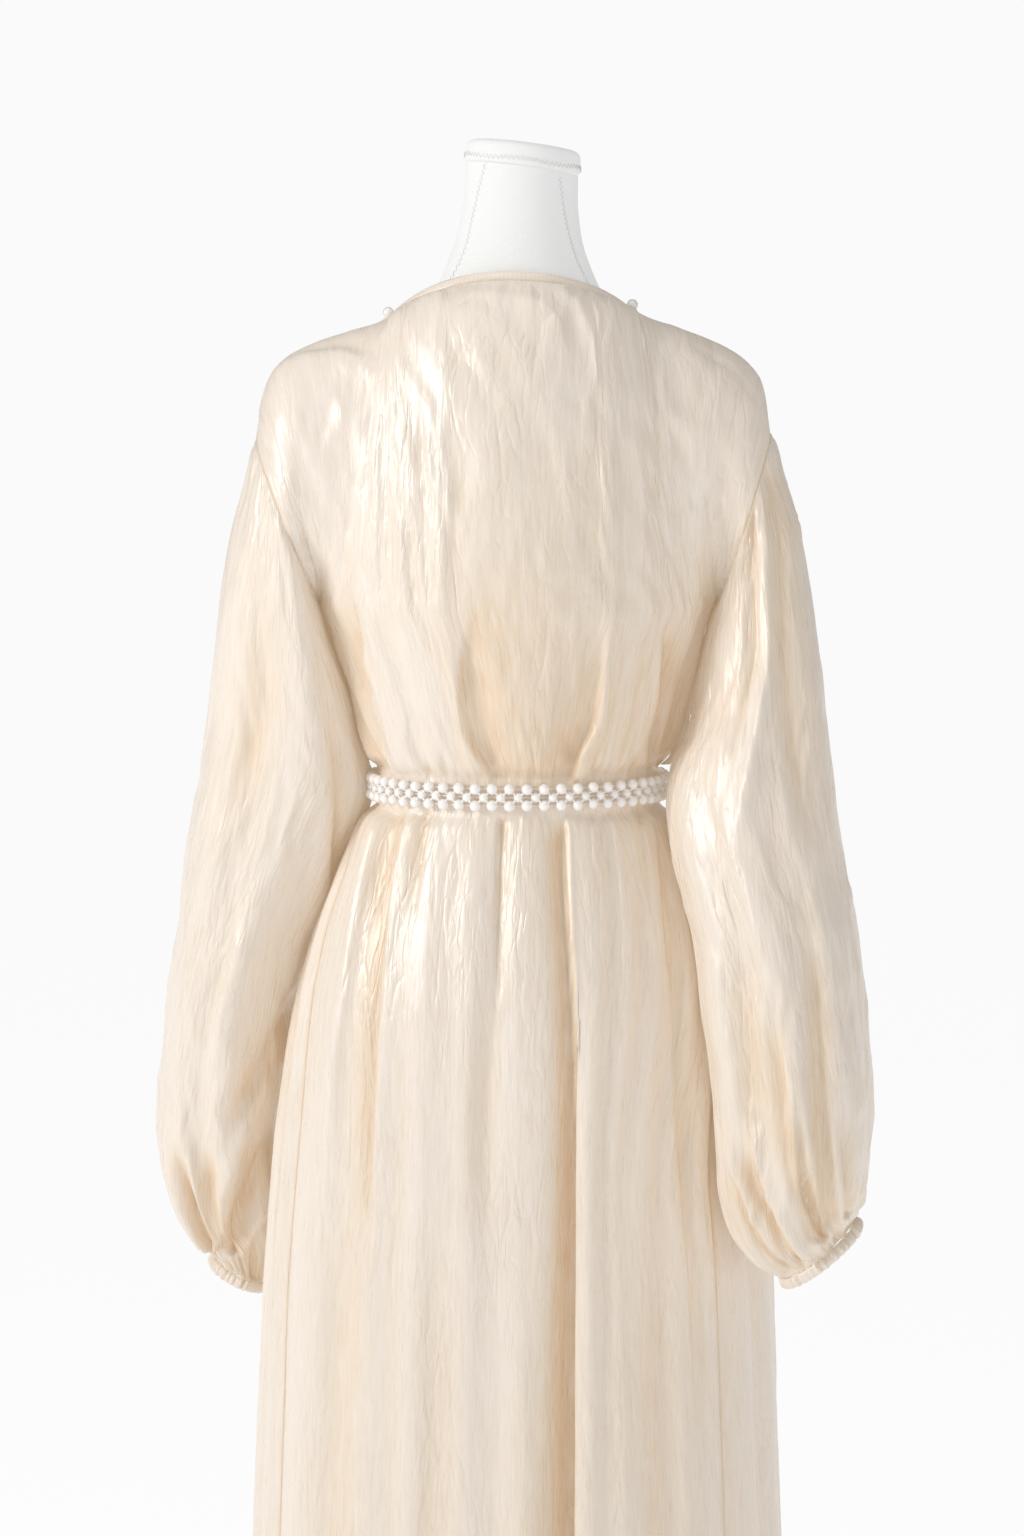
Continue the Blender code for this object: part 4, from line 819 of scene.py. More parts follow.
# Broad painted shade (over 0) and painted highlights (under 0) on the back, each with its x and z
backPaintedLight = rowsOf(
    "place size share",
    ((0.000, 1.150), (0.085, 0.100), 0.36),
    ((-0.154, 1.288), (0.013, 0.045), -0.95),
    ((0.160, 1.349), (0.045, 0.016), -0.85),
    ((0.0925, 1.105), (0.020, 0.035), -0.70),
    ((0.000, 1.385), (0.110, 0.045), -0.34),
    ((-0.020, 1.075), (0.060, 0.035), 0.20),
    ((-0.105, 1.120), (0.035, 0.090), 0.16),
    ((0.085, 1.105), (0.030, 0.060), -0.30),
    ((0.130, 1.280), (0.040, 0.050), -0.20),
    ((-0.060, 1.300), (0.050, 0.060), 0.10),
    ((-0.020, 0.350), (0.030, 0.300), 0.25),
    ((-0.110, 0.600), (0.060, 0.300), 0.12),
    ((0.010, 0.750), (0.030, 0.200), -0.12),
)


def backTop(angle):
    share = (abs(angle) - neckAngle) / (90 - neckAngle)
    return shoulderPoint(math.copysign(1, angle), share) if share > 0 else neckPoint(angle / neckAngle * 90)


def makeBack(surface):
    places = columnAngles("left_seam", "right_seam", columnsPerFold)
    chest = anglesAt(places, underarmHeight)
    tops = np.array([backTop(angle) + np.array([0, 0.5 * seamGap, 0]) for angle in chest])
    points = [bodyRow(anglesAt(places, z), z) for z in skirtHeights()]
    edges = []
    for side, k in ((1, 0), (-1, -1)):
        bottom = bodyRow(chest[[k]], underarmHeight)[0]
        edges.append((sideWeights(np.abs(chest - chest[k])), bottom, tops[k], side, 1))
    points += [upperRow(chest, k / upperRows, tops, edges, 0.0) for k in range(1, upperRows + 1)]
    creases = backCreases + beltGathers(-0.112, 0.112, 3, 0.050)
    return finishPanel(backPiece, np.array(points), creases, surface, backDrapes, backPaintedLight)


# The raw edge of the right side seam's allowance, turned out over the sleeve
fray = dict(rows=150, columns=6, seed=17, length=0.13, width=0.010, wall=0.0008,
            path=((1.0573, -0.1239), (1.0754, -0.1336), (1.0951, -0.1395), (1.1147, -0.1452), (1.1380, -0.1490),
                  (1.1735, -0.1545), (1.1953, -0.1590)))


def makeFray(surface):
    draw = np.random.default_rng(fray["seed"])
    places, values = zip(*fray["path"])
    shares = np.linspace(0, 1, fray["columns"] + 1)
    rows = []
    for z in np.linspace(places[0], places[-1] - 0.006, fray["rows"] + 1):
        seam = bodyRow(np.array([-84.0, -90.0]), z, 0.0004)[0]
        outer = np.array([curveValue(places, values, z) - draw.uniform(0, 0.0007), seam[1] + 0.0030, z])
        outer[0] = min(outer[0], seam[0] - 0.0012)
        rows.append([outer + (seam - outer) * f + np.array([0, 0.0012 * math.sin(math.pi * f), 0]) for f in shares])
    # Painted shade at the seam, fading to a paler painted highlight at the raw outer edge
    paintedShade = np.tile(np.linspace(0.62, 0.30, len(shares)), (len(rows), 1))
    return clothMesh("seamFray", np.array(rows)[:, ::-1], fray["width"] * shares,
                     np.linspace(0, fray["length"], len(rows)), paintedShade, surface, fray["wall"])


# Front panels: the right one laps over the left one

frontPieces = {
    1: dict(name="frontPanelLeft", seed=23, crinkle=1.0, tucks=(0.035, 0.112, 6), seam="last"),
    -1: dict(name="frontPanelRight", seed=37, crinkle=1.0, tucks=(-0.112, 0.026, 4), seam="first"),
}
frontCreases = {
    1: creaseRows(
        ("blouseSide", -4.0, 30, 90, 0.1, 0.6, 10500, 1000, 10900, 1110, 11500, 1220, 12400, 1400),
        ("blouseMiddle", -5.0, 100, 60, 0.1, 0.6, 10500, 760, 11000, 860, 11700, 950, 13000, 1080),
        ("blouseInner", 3.6, 60, 100, 0.12, 0.5, 10500, 560, 11000, 620, 11700, 700, 12800, 860),
        ("shoulderTuck", -2.0, 50, 30, 0.7, 0.1, 13000, 1200, 13500, 1280, 13980, 1400),
        ("shoulderTuckB", -1.8, 40, 40, 0.7, 0.1, 13100, 1480, 13500, 1560, 13880, 1640),
        ("skirtA", -5.5, 120, 20, 0.1, 0.05, 10300, 620, 9300, 740, 7600, 860, 3000, 930, 620, 940),
        ("skirtAEdge", 2.6, 16, 110, 0.1, 0.05, 10300, 644, 9300, 764, 7600, 884, 3000, 954, 620, 964),
        ("skirtB", -4.6, 70, 100, 0.35, 0.06, 10280, 860, 9600, 1060, 8600, 1220, 6000, 1390),
        ("skirtC", -3.6, 120, 140, 0.2, 0.4, 8000, 1480, 6000, 1560, 3000, 1660, 1000, 1700),
        ("skirtD", 3.0, 120, 100, 0.2, 0.4, 8400, 1100, 6000, 1180, 3000, 1240, 1000, 1260),
    ),
    -1: creaseRows(
        ("blouseSide", -4.4, 90, 26, 0.1, 0.6, 10500, -1030, 10900, -1120, 11500, -1240, 12300, -1380),
        ("blouseMiddle", -5.4, 60, 110, 0.1, 0.55, 10500, -700, 11000, -800, 11700, -900, 13100, -1050),
        ("blouseInner", 3.8, 100, 50, 0.12, 0.5, 10500, -460, 11000, -520, 11700, -610, 12900, -800),
        ("wrapA", -2.6, 60, 60, 0.12, 0.6, 10500, -120, 10900, -240, 11500, -380, 12300, -560),
        ("wrapB", -1.8, 40, 50, 0.15, 0.6, 10500, 130, 10800, 30, 11200, -120, 11800, -300),
        ("shoulderTuck", -2.2, 30, 50, 0.7, 0.1, 13000, -1120, 13500, -1180, 14020, -1300),
        ("shoulderTuckB", -1.8, 40, 30, 0.7, 0.1, 13000, -1420, 13500, -1500, 13920, -1580),
        ("skirtA", -5.5, 20, 130, 0.1, 0.05, 10300, -560, 9300, -690, 7600, -810, 3000, -880, 620, -890),
        ("skirtAEdge", 2.6, 120, 16, 0.1, 0.05, 10300, -584, 9300, -714, 7600, -834, 3000, -904, 620, -914),
        ("skirtB", -4.8, 100, 70, 0.35, 0.06, 10280, -900, 9600, -1100, 8600, -1260, 5600, -1420),
        ("skirtC", -3.0, 150, 110, 0.2, 0.4, 8000, -1500, 6000, -1580, 3000, -1680, 1000, -1720),
        ("skirtLap", -2.2, 70, 120, 0.5, 0.06, 10280, -140, 9400, -180, 7600, -200, 5600, -210),
        ("skirtLapB", -1.8, 100, 60, 0.5, 0.06, 10280, 180, 9400, 190, 8200, 200, 6400, 200),
    ),
}


def frontGrid(side, perFold, heights, rowsAbove):
    if side < 0:
        places = columnAngles("right_seam", "front_middle_right", perFold)
    else:
        # The left front goes on under the right one, up to the mirror of the right one's edge
        places = columnAngles("left_seam", "left_front_6", perFold)[:-1]
        edge = folds[0]
        under = dict(angle=[-a for a in edge["angle"]], depth=edge["depth"])
        places += [(folds[-1], under, k / (2 * perFold)) for k in range(2 * perFold)] + [(under, under, 0.0)]
    chest = anglesAt(places, underarmHeight)
    acrossShare = (chest - side * 90) / (chest[-1] - side * 90)
    tops = np.array([shoulderPoint(side, 1 - f) for f in acrossShare])
    tops[:, 2] -= 0.5 * seamGap

    def rises(angles):
        return lapRises(angles) if side < 0 else np.zeros(len(angles))

    rows = [anglesAt(places, z) for z in heights]
    points = [bodyRow(angles, z, rises(angles)) for angles, z in zip(rows, heights)]
    seam = bodyRow(np.array([side * 90.0]), underarmHeight)[0]
    edges = [(sideWeights(np.abs(chest - side * 90)), seam, shoulderPoint(side, 1), side, -1)]
    points += [upperRow(chest, k / rowsAbove, tops, edges, rises(chest)) for k in range(1, rowsAbove + 1)]
    return np.array(points), chest


def makeFront(side, surface):
    piece = frontPieces[side]
    points, chest = frontGrid(side, columnsPerFold, skirtHeights(), upperRows)
    lap = 1.0
    if side > 0:
        points, chest = points[:, ::-1], chest[::-1]
        lap = smoothStep((150 - np.abs(chest)) / 14)[None, :]
    creases = frontCreases[side] + beltGathers(*piece["tucks"], 0.060)
    return finishPanel(piece, points, creases, surface, lap=lap, allowances=(piece["seam"], "top"))


# Sleeves

sleeveColumns = 224
sleeveRowsPerRing = [8, 8, 7, 7, 8, 9, 9, 8, 8, 9, 9, 8, 9, 10, 10, 12]
sleevePieces = {
    1: dict(name="sleeveLeft", rings=leftSleeve, cuff=leftCuff, seed=51, uvWidth=0.47, crinkle=0.8),
    -1: dict(name="sleeveRight", rings=rightSleeve, cuff=rightCuff, seed=67, uvWidth=0.47, crinkle=0.9),
}
sleeveCreases = {
    1: creaseRows(
        ("outerBand", 3.2, 110, 80, 0.2, 0.2, 12900, 2184, 12260, 2311, 11210, 2428, 10310, 2557, 9640, 2685),
        ("middleValley", -5.2, 140, 130, 0.4, 0.6, 12740, 2043, 11940, 2053, 11130, 2095, 10230, 2255,
         9470, 2386),
        ("innerRidge", 4.9, 80, 140, 0.3, 0.3, 11860, 1749, 10970, 1631, 10310, 1584, 9640, 1649, 9040, 1740),
        ("innerLine", -4.9, 80, 20, 0.3, 0.2, 10970, 1516, 10390, 1474, 9890, 1505, 9330, 1588),
        ("lowBright", 5.0, 90, 70, 0.3, 0.3, 9470, 2172, 8960, 2301, 8360, 2445, 7840, 2554),
        ("diagonalValley", -6.7, 80, 100, 0.3, 0.3, 8830, 1726, 8360, 1914, 7970, 2119, 7500, 2363),
        ("diagonalRidge", 6.6, 90, 50, 0.3, 0.2, 8530, 1829, 8060, 2052, 7670, 2238, 7310, 2368, 6810, 2484),
        ("ridgeA", 5.8, 60, 60, 0.02, 0.5, 7910, 2809, 7350, 2762, 6860, 2633, 6430, 2514),
        ("ridgeB", 5.2, 50, 60, 0.02, 0.5, 7510, 2284, 7170, 2419, 6860, 2488, 6430, 2486),
        ("valleyAB", -7.2, 60, 50, 0.02, 0.5, 7590, 2601, 7040, 2570, 6470, 2506),
        ("valleyC", -7.8, 70, 80, 0.02, 0.5, 7770, 1976, 7100, 2182, 6720, 2325, 6350, 2398),
        ("ridgeD", 5.2, 50, 60, 0.02, 0.5, 7590, 2958, 6950, 2868, 6630, 2755, 6370, 2632),
        ("valleyE", -6.4, 50, 50, 0.02, 0.5, 7590, 2885, 7080, 2790, 6720, 2685, 6400, 2572),
        ("ridgeF", 4.9, 50, 60, 0.02, 0.5, 7410, 1874, 6900, 2062, 6630, 2212, 6330, 2334),
    ),
    -1: creaseRows(
        ("headLine", -4.6, 16, 110, 0.3, 0.25, 13180, -1939, 12900, -1871, 12240, -1875, 11600, -1896,
         11190, -1798, 10430, -1603),
        ("headRidge", 4.6, 80, 40, 0.3, 0.35, 13100, -1987, 12740, -1950, 12110, -1964, 11560, -1983,
         11090, -1893, 10470, -1770, 9810, -1639),
        ("headValley", -4.9, 100, 80, 0.3, 0.1, 13180, -2005, 12590, -2055, 11540, -2098, 10490, -2213,
         9740, -2286),
        ("outerBand", 3.8, 110, 80, 0.3, 0.2, 12900, -2131, 12270, -2211, 11330, -2314, 10170, -2435,
         9630, -2534),
        ("longTrough", -5.5, 60, 80, 0.04, 0.4, 9940, -2219, 9410, -2283, 8820, -2338, 7880, -2371,
         7330, -2427, 7020, -2474),
        ("midTrough", -6.7, 60, 80, 0.04, 0.4, 9180, -1961, 8290, -2019, 7740, -2092, 7240, -2263,
         6900, -2389),
        ("innerRidge", 4.9, 90, 60, 0.2, 0.4, 9630, -1478, 8880, -1545, 8290, -1639, 7630, -1696),
        ("innerValley", -4.6, 80, 80, 0.2, 0.4, 9480, -1699, 8720, -1767, 8100, -1812, 7610, -1854),
        ("ridge1", 4.3, 50, 40, 0.1, 0.4, 7930, -1614, 7630, -1657, 7420, -1709, 7000, -1853),
        ("wedge1", -7.8, 60, 60, 0.02, 0.4, 7890, -1719, 7410, -1844, 7150, -1976, 6870, -2134, 6720, -2251),
        ("wedge2", -6.7, 50, 50, 0.02, 0.4, 7600, -1613, 7230, -1730, 6900, -1889, 6640, -2152),
        ("ridge2", 5.8, 50, 60, 0.02, 0.4, 8200, -1802, 7580, -1894, 7260, -2013, 7010, -2134, 6760, -2288),
        ("ridge3", 4.9, 40, 40, 0.02, 0.5, 8350, -2109, 7710, -2143, 7350, -2208, 7110, -2303, 6900, -2391),
        ("trough34", -4.9, 30, 30, 0.02, 0.5, 8250, -2156, 7710, -2193, 7350, -2268, 7110, -2343,
         6940, -2431),
        ("ridge4", 4.3, 40, 50, 0.02, 0.5, 8290, -2213, 7820, -2244, 7460, -2315, 7140, -2383, 6970, -2473),
        ("ridge6", 4.3, 50, 40, 0.02, 0.5, 8190, -2455, 7760, -2471, 7540, -2500, 7330, -2539, 7060, -2561),
        ("trough67", -4.6, 40, 40, 0.02, 0.5, 8090, -2535, 7760, -2551, 7440, -2580, 7130, -2599),
        ("ridge7", 3.8, 40, 40, 0.05, 0.5, 7970, -2661, 7540, -2643, 7170, -2633),
    ),
}


def turnsRound(side, count):
    # From the outer edge round by the back; the right sleeve runs the other way
    turns = 2 * np.pi * np.arange(count) / count
    return turns if side > 0 else (2 * np.pi - turns) % (2 * np.pi)


def cuffDown(cuff, side):
    tilt = math.radians(cuff["tilt"])
    return np.array([side * math.sin(tilt), 0, -math.cos(tilt)])


def cuffRing(cuff, side, turns, drop):
    tilt = math.radians(cuff["tilt"])
    across = np.array([side * math.cos(tilt), 0, math.sin(tilt)])
    middle = np.array([side * cuff["x"], cuff["y"], cuff["z"]])
    return (middle + cuffDown(cuff, side) * drop + across * (cuff["halfWidth"] * np.cos(turns))[:, None]
            + np.array([0, 1, 0]) * (cuff["depth"] * np.sin(turns))[:, None])


def sleeveRing(piece, side, turns, level):
    if level == 0:
        made = []
        for turn in turns:
            back = 1 if math.sin(turn) > 0 else -1
            f = 1 - (turn / math.pi if back > 0 else (2 * math.pi - turn) / math.pi)
            made.append(armholePoint(side, f, back))
        return np.array(made) + armholeNormal(side) * armholeGap
    if level > len(piece["rings"]):
        return cuffRing(piece["cuff"], side, turns, -0.5 * cuffLength - seamGap)
    ring = piece["rings"][level - 1]
    outer = np.array([side * ring["outerX"], ring["y"], ring["outerZ"]])
    inner = np.array([side * ring["innerX"], ring["y"], ring["innerZ"]])
    middle = (outer + inner) / 2
    uneven = (0.7 + 0.3 * np.cos(3 * turns + 1.1)) * (1 - np.abs(np.cos(turns)) ** 10)
    wave = 0.5 - 0.5 * np.cos(sleeveFoldCount * turns + 0.05 * level)
    roundOff = 1 - ring["fold"] * uneven * wave / ring["depth"]
    return (middle + (outer - middle) * (np.cos(turns) * roundOff)[:, None]
            + np.array([0, 1, 0]) * (ring["depth"] * np.sin(turns) * roundOff)[:, None])


# Fine gathers that run up from the cuff, and short ones down from the sleeve's head
cuffTucks = dict(reach=[1.2, 2.0, 3.0, 4.6, 6.2], odds=[0.26, 0.28, 0.22, 0.16, 0.08], width=(0.0020, 0.0040),
                 drift=(-5, 5), height=(2.2, 5.0), wider=(0.5, 1.6), step=(6, 13), fade=(0.75, 0.02))
headTucks = dict(turns=(-70, 70), count=13, reach=(0.8, 2.2), width=(0.0022, 0.0045), height=(1.0, 2.2),
                 wider=(0.6, 1.8), fade=(0.03, 0.8), lean=1.08)


def sleeveGathers(piece):
    # Their places are (level, degrees round from the outer edge by the back)
    draw = np.random.default_rng(piece["seed"])
    levels = len(piece["rings"]) + 1
    made = []

    def addTuck(look, width, path):
        made.append(dict(height=-draw.uniform(*look["height"]), left=width,
                         right=width * draw.uniform(*look["wider"]), fade=look["fade"], path=path))

    turn = 0.0
    while turn < 360:
        reach = draw.choice(cuffTucks["reach"], p=cuffTucks["odds"])
        width = draw.uniform(*cuffTucks["width"])
        drift = draw.uniform(*cuffTucks["drift"])
        addTuck(cuffTucks, width, ((levels - reach, turn + drift), (levels - reach / 2, turn + drift / 3),
                                   (levels, turn)))
        turn += draw.uniform(*cuffTucks["step"])
    for turn in draw.uniform(*headTucks["turns"], headTucks["count"]):
        reach = draw.uniform(*headTucks["reach"])
        width = draw.uniform(*headTucks["width"])
        addTuck(headTucks, width, ((0.0, turn % 360), (reach, (turn * headTucks["lean"]) % 360)))
    return made


# How a sleeve's wrinkles die out: the head over 0.8 of a ring, and the end, held open by the cuff
sleeveFinish = dict(headFade=0.8, headLeast=0.12, endFade=0.5, endLeast=0.60, endSink=0.0006, sink=0.010,
                    sinkFade=0.6, joinDegrees=40, endHermite=0.6, gatherShade=0.0075, gatherFrom=0.45, reach=6,
                    tuckIn=0.0020, tuckBack=0.0045, tuckLength=0.004, facingFrom=0.15, facingFade=0.35)


def makeSleeve(side, surface):
    piece, look = sleevePieces[side], sleeveFinish
    turns = turnsRound(side, sleeveColumns)
    count = len(piece["rings"]) + 1
    rings = [sleeveRing(piece, side, turns, level) for level in range(count + 1)]
    points, levels = [], []
    for i in range(count):
        before, after = rings[max(i - 1, 0)], rings[min(i + 2, count)]
        step = rings[i + 1] - rings[i]
        start = step if i == 0 else (rings[i + 1] - before) / 2
        end = step * look["endHermite"] if i == count - 1 else (after - rings[i]) / 2
        for k in range(sleeveRowsPerRing[i]):
            f = k / sleeveRowsPerRing[i]
            points.append(hermite(f, rings[i], rings[i + 1], start, end))
            levels.append(i + f)
    points, levels = np.array(points + [rings[-1]])[::-1], np.array(levels + [float(count)])[::-1][:, None]
    normals = gridNormals(points, True)
    degrees = np.degrees(turns)[None, :]
    metres = np.linalg.norm(points - np.roll(points, 1, axis=1), axis=-1).sum(axis=1)[:, None] / 360
    wrinkles = np.zeros(points.shape[:2])
    for crease in sleeveGathers(piece):
        places, values = zip(*sorted(crease["path"]))
        centre = np.array([[curveValue(places, values, level)] for level in levels[:, 0]])
        away = (degrees - centre + 180) % 360 - 180
        wrinkles += creaseBump(crease, (levels - places[0]) / (places[-1] - places[0]), away * metres)
    # Painted shade in the troughs of the gathers
    paintedGatherShade = np.clip(look["gatherFrom"] - wrinkles / look["gatherShade"], 0.0, 1.0)
    facing = smoothStep((normals[..., 1] + look["facingFrom"]) / look["facingFade"])
    across, along = points[..., 0], points[..., 2]
    wrinkles += creaseHeights(across, along, sleeveCreases[side]) * facing
    u = np.arange(sleeveColumns + 1) / sleeveColumns * piece["uvWidth"]
    steps = np.linalg.norm(np.diff(points, axis=0), axis=-1).mean(axis=1)
    v = np.concatenate([[0], np.cumsum(steps)])
    # The crinkle's two ends run into each other at the seam
    around, blend = degrees / 360 * piece["uvWidth"], smoothStep(degrees / look["joinDegrees"])
    for shift, share in ((0, blend), (piece["uvWidth"], 1 - blend)):
        wrinkles += crinkleHeights(around + shift, v[:, None], piece["seed"], piece["crinkle"]) * share
    wrinkles *= (smoothStep(levels / look["headFade"] + look["headLeast"])
                 * smoothStep((count - levels) / look["endFade"] + look["endLeast"]))
    wrinkles = np.maximum(wrinkles, -look["endSink"] - look["sink"] * smoothStep((count - levels) / look["sinkFade"]))
    points = points + normals * wrinkles[..., None]
    # Painted shade in the valleys, the creases' troughs and the deeper gathers; paler colour on the crests
    paintedShade = np.maximum(hollowness(points, look["reach"], True),
                        creaseShade(sleeveCreases[side], across, along) * facing)
    paintedShade = np.maximum(paintedShade, paintedGatherShade * (paintedGatherShade > 0.5))
    # The seam allowance goes on inside the armhole
    inside = points[-1] - normals[-1] * look["tuckIn"] - armholeNormal(side) * look["tuckBack"]
    points, paintedShade = np.concatenate([points, inside[None]]), np.concatenate([paintedShade, paintedShade[-1:]])
    v = np.append(v, v[-1] + look["tuckLength"])
    return clothMesh(piece["name"], points, u, v, paintedShade, surface, closed=True)


# Elastic cuffs

cuffPieces = {1: dict(name="cuffLeft", cuff=leftCuff, seed=5), -1: dict(name="cuffRight", cuff=rightCuff, seed=8)}
cuffShape = dict(columns=240, section=18, thickness=0.0036, puff=0.0030, pinch=0.0012, tucks=(31, 24, 42),
                 gap=0.0004, lift=0.0006, inset=0.0006, fullness=2.2, girth=0.026)


def makeCuff(side, surface):
    # A puffed casing: its section is a flattened ring, tucked all round by the elastic
    piece, look = cuffPieces[side], cuffShape
    cuff = piece["cuff"]
    draw = np.random.default_rng(piece["seed"])
    count, section = look["columns"], look["section"]
    turns = turnsRound(side, count)
    wobble = np.zeros(count)
    for k in look["tucks"]:
        wobble += np.cos(k * turns + draw.uniform(0, 6)) / 3
    ring = cuffRing(cuff, side, turns, 0.0)
    middle = cuffRing(cuff, side, np.array([0.0, np.pi]), 0.0).mean(axis=0)
    rows = []
    for k in range(section):
        across, along = math.cos(2 * np.pi * k / section), math.sin(2 * np.pi * k / section)
        swell = 0.3 * look["pinch"] * wobble
        if across > 0:
            swell = look["puff"] * across * (0.4 + 0.6 * wobble)
        drop = -0.5 * (cuffLength - look["gap"]) * along - look["lift"] * wobble * along
        scale = 1 + (0.5 * look["thickness"] * across + swell - look["inset"]) / cuff["depth"]
        rows.append(middle + (ring - middle) * scale[:, None] + cuffDown(cuff, side) * drop[:, None])
    points = np.array(rows + rows[:1])
    u = np.arange(count + 1) / count * 2 * np.pi * cuff["depth"] * look["fullness"]
    v = np.arange(section + 1) / section * look["girth"]
    # Painted shade in the elastic's tucks, paler painted highlight on the puffs
    paintedShade = np.tile(np.clip(0.5 - 0.4 * wobble, 0, 1), (section + 1, 1))
    return clothMesh(piece["name"], points, u, v, paintedShade, surface, 0, closed=True)


# Neck binding

binding = dict(columns=190, section=14, width=0.0088, thickness=0.0026, ribPitch=0.0036, rib=0.00024,
               lift=0.0041, sink=0.0010, least=0.0003, girth=0.020)


def squareSine(t):
    # A sine with flatter tops, for a strip's section
    return abs(math.sin(t)) ** 0.7 * math.copysign(1, math.sin(t))


def makeBinding(surface):
    # A narrow bias strip folded over the back neckline, rippled by its stitches
    look, section = binding, binding["section"]
    turns = np.linspace(90, -90, look["columns"] + 1)
    lengths = runLengths(np.array([neckPoint(turn) for turn in turns]))
    narrow = 0.5 + 0.5 * np.minimum(1.0, np.cos(np.radians(turns)) / 0.6)
    ribs = 2 * np.pi * lengths / look["ribPitch"]
    rows = []
    for k in range(section):
        t = 2 * np.pi * k / section
        lift = look["lift"] - 0.5 * look["width"] * math.cos(t)
        sink = look["sink"] + 0.5 * look["thickness"] * squareSine(t)
        ripple = look["rib"] * np.cos(ribs + 0.8 * math.sin(4 * k)) * abs(math.sin(t))
        ripple *= 1 if math.sin(t) < 0 else 0.4
        rows.append([neckPoint(turn, look["least"] + (lift - look["least"]) * n, sink - r)
                     for turn, r, n in zip(turns, ripple, narrow)])
    points = np.array(rows + rows[:1])[::-1]
    # Painted shade and highlight that alternate with the stitches' ribs
    paintedShade = np.tile(0.5 + 0.25 * np.cos(ribs + np.pi), (section + 1, 1))
    return clothMesh("neckBinding", points, lengths, np.arange(section + 1) / section * look["girth"], paintedShade,
                     surface, 0, filled=True, turned=True)


# Pearls

pearls = dict(round=54, clearance=0.0007, lapTurn=7.0, rowPitch=0.0067, big=0.0046, small=0.0039, seed=0.00105,
              clasp=8.0, jitter=0.0003, sizes=(0.97, 1.02), trimStart=0.002, trimEnd=0.004, trimPitch=0.0118,
              trimBead=0.0042, strings=(0.22, 0.36, 0.50, 0.64, 0.78))


def beltPoint(angle, height, rise):
    lap = float(lapRises(np.array([angle if angle < 0 else pearls["lapTurn"] - angle]))[0])
    turn = math.radians(angle)
    outward = Vector((math.sin(turn) / waistHalfWidth, math.cos(turn) / waistDepth, 0)).normalized()
    point = Vector((waistHalfWidth * math.sin(turn), waistDepth * math.cos(turn), waistHeight + height))
    return point + outward * (pearls["clearance"] + lap + rise)


def beltAngle(share):
    # From one side of the clasp round by the back to the other
    start = 180 - pearls["clasp"]
    return start - 2 * start * share


def addBeads(name, spots, surface, across, down):
    # One ball is copied to all the spots, which are (place, radius)
    ball = bmesh.new()
    bmesh.ops.create_uvsphere(ball, u_segments=across, v_segments=down, radius=1.0)
    ball.verts.index_update()
    corners = [vert.co.copy() for vert in ball.verts]
    faces = [[vert.index for vert in face.verts] for face in ball.faces]
    ball.free()
    bm = bmesh.new()
    for place, radius in spots:
        verts = [bm.verts.new(place + corner * radius) for corner in corners]
        for face in faces:
            bm.faces.new([verts[i] for i in face])
    return addPiece(name, bm, surface)


def makeBelt(pearl, glass):
    columns = 2 * pearls["round"] - 4
    draw = np.random.default_rng(4)
    spots, seeds, places = [], [], {}
    for column in range(1, columns):
        outer = column % 2
        for level in (-1, 1) if outer else (0,):
            size = pearls["big"] if outer else pearls["small"]
            height = level * pearls["rowPitch"] + draw.uniform(-pearls["jitter"], pearls["jitter"])
            place = beltPoint(beltAngle(column / columns), height, size if outer else size + 0.0003)
            spots.append((place, size * draw.uniform(*pearls["sizes"])))
            places[(column, level)] = place
    # Strings of seed beads cross from each outer pearl to the middle ones beside it
    for (column, level), place in places.items():
        for step in (-1, 1):
            other = places.get((column + step, 0))
            if level == 0 or other is None:
                continue
            angle = beltAngle((column + 0.5 * step) / columns)
            out = (beltPoint(angle, 0, 0.01) - beltPoint(angle, 0, 0)).normalized()
            for f in pearls["strings"]:
                seeds.append((place.lerp(other, f) + out * (0.0022 - 0.010 * (f - 0.5) ** 2), pearls["seed"]))
    return addBeads("pearlBelt", spots, pearl, 14, 10), addBeads("seedBeads", seeds, glass, 7, 5)


def tubeAlong(name, path, radius, surface, sides=6):
    # A thread as a tube along its points
    rings, across = [], None
    for i, point in enumerate(path):
        ahead = pathAhead(path, i)
        across = (ahead.orthogonal() if across is None else across - ahead * across.dot(ahead)).normalized()
        other = ahead.cross(across)
        turns = [2 * math.pi * k / sides for k in range(sides)]
        rings.append([point + (across * math.cos(turn) + other * math.sin(turn)) * radius for turn in turns])
    bm = wrapGrid(rings, sides)[0]
    closeUp(bm)
    return addPiece(name, bm, surface)


def pathAhead(path, i):
    return (path[min(i + 1, len(path) - 1)] - path[max(i - 1, 0)]).normalized()


def makeThreads(surface):
    # A clear thread along each row of pearls
    for i, level in enumerate((-1, 0, 1)):
        path = [beltPoint(beltAngle(k / 240), level * pearls["rowPitch"], 0.0022) for k in range(241)]
        tubeAlong(f"beltThread{i}", path, 0.0006, surface)


# Pearl trims on the front edges

trimBand = dict(width=0.0094, rise=0.0019, thickness=0.0024, section=12, ripple=0.00015, perPearl=5, length=0.26,
                girth=0.020, proud=(0, 0.0025, 0.0035), larger=1.1)


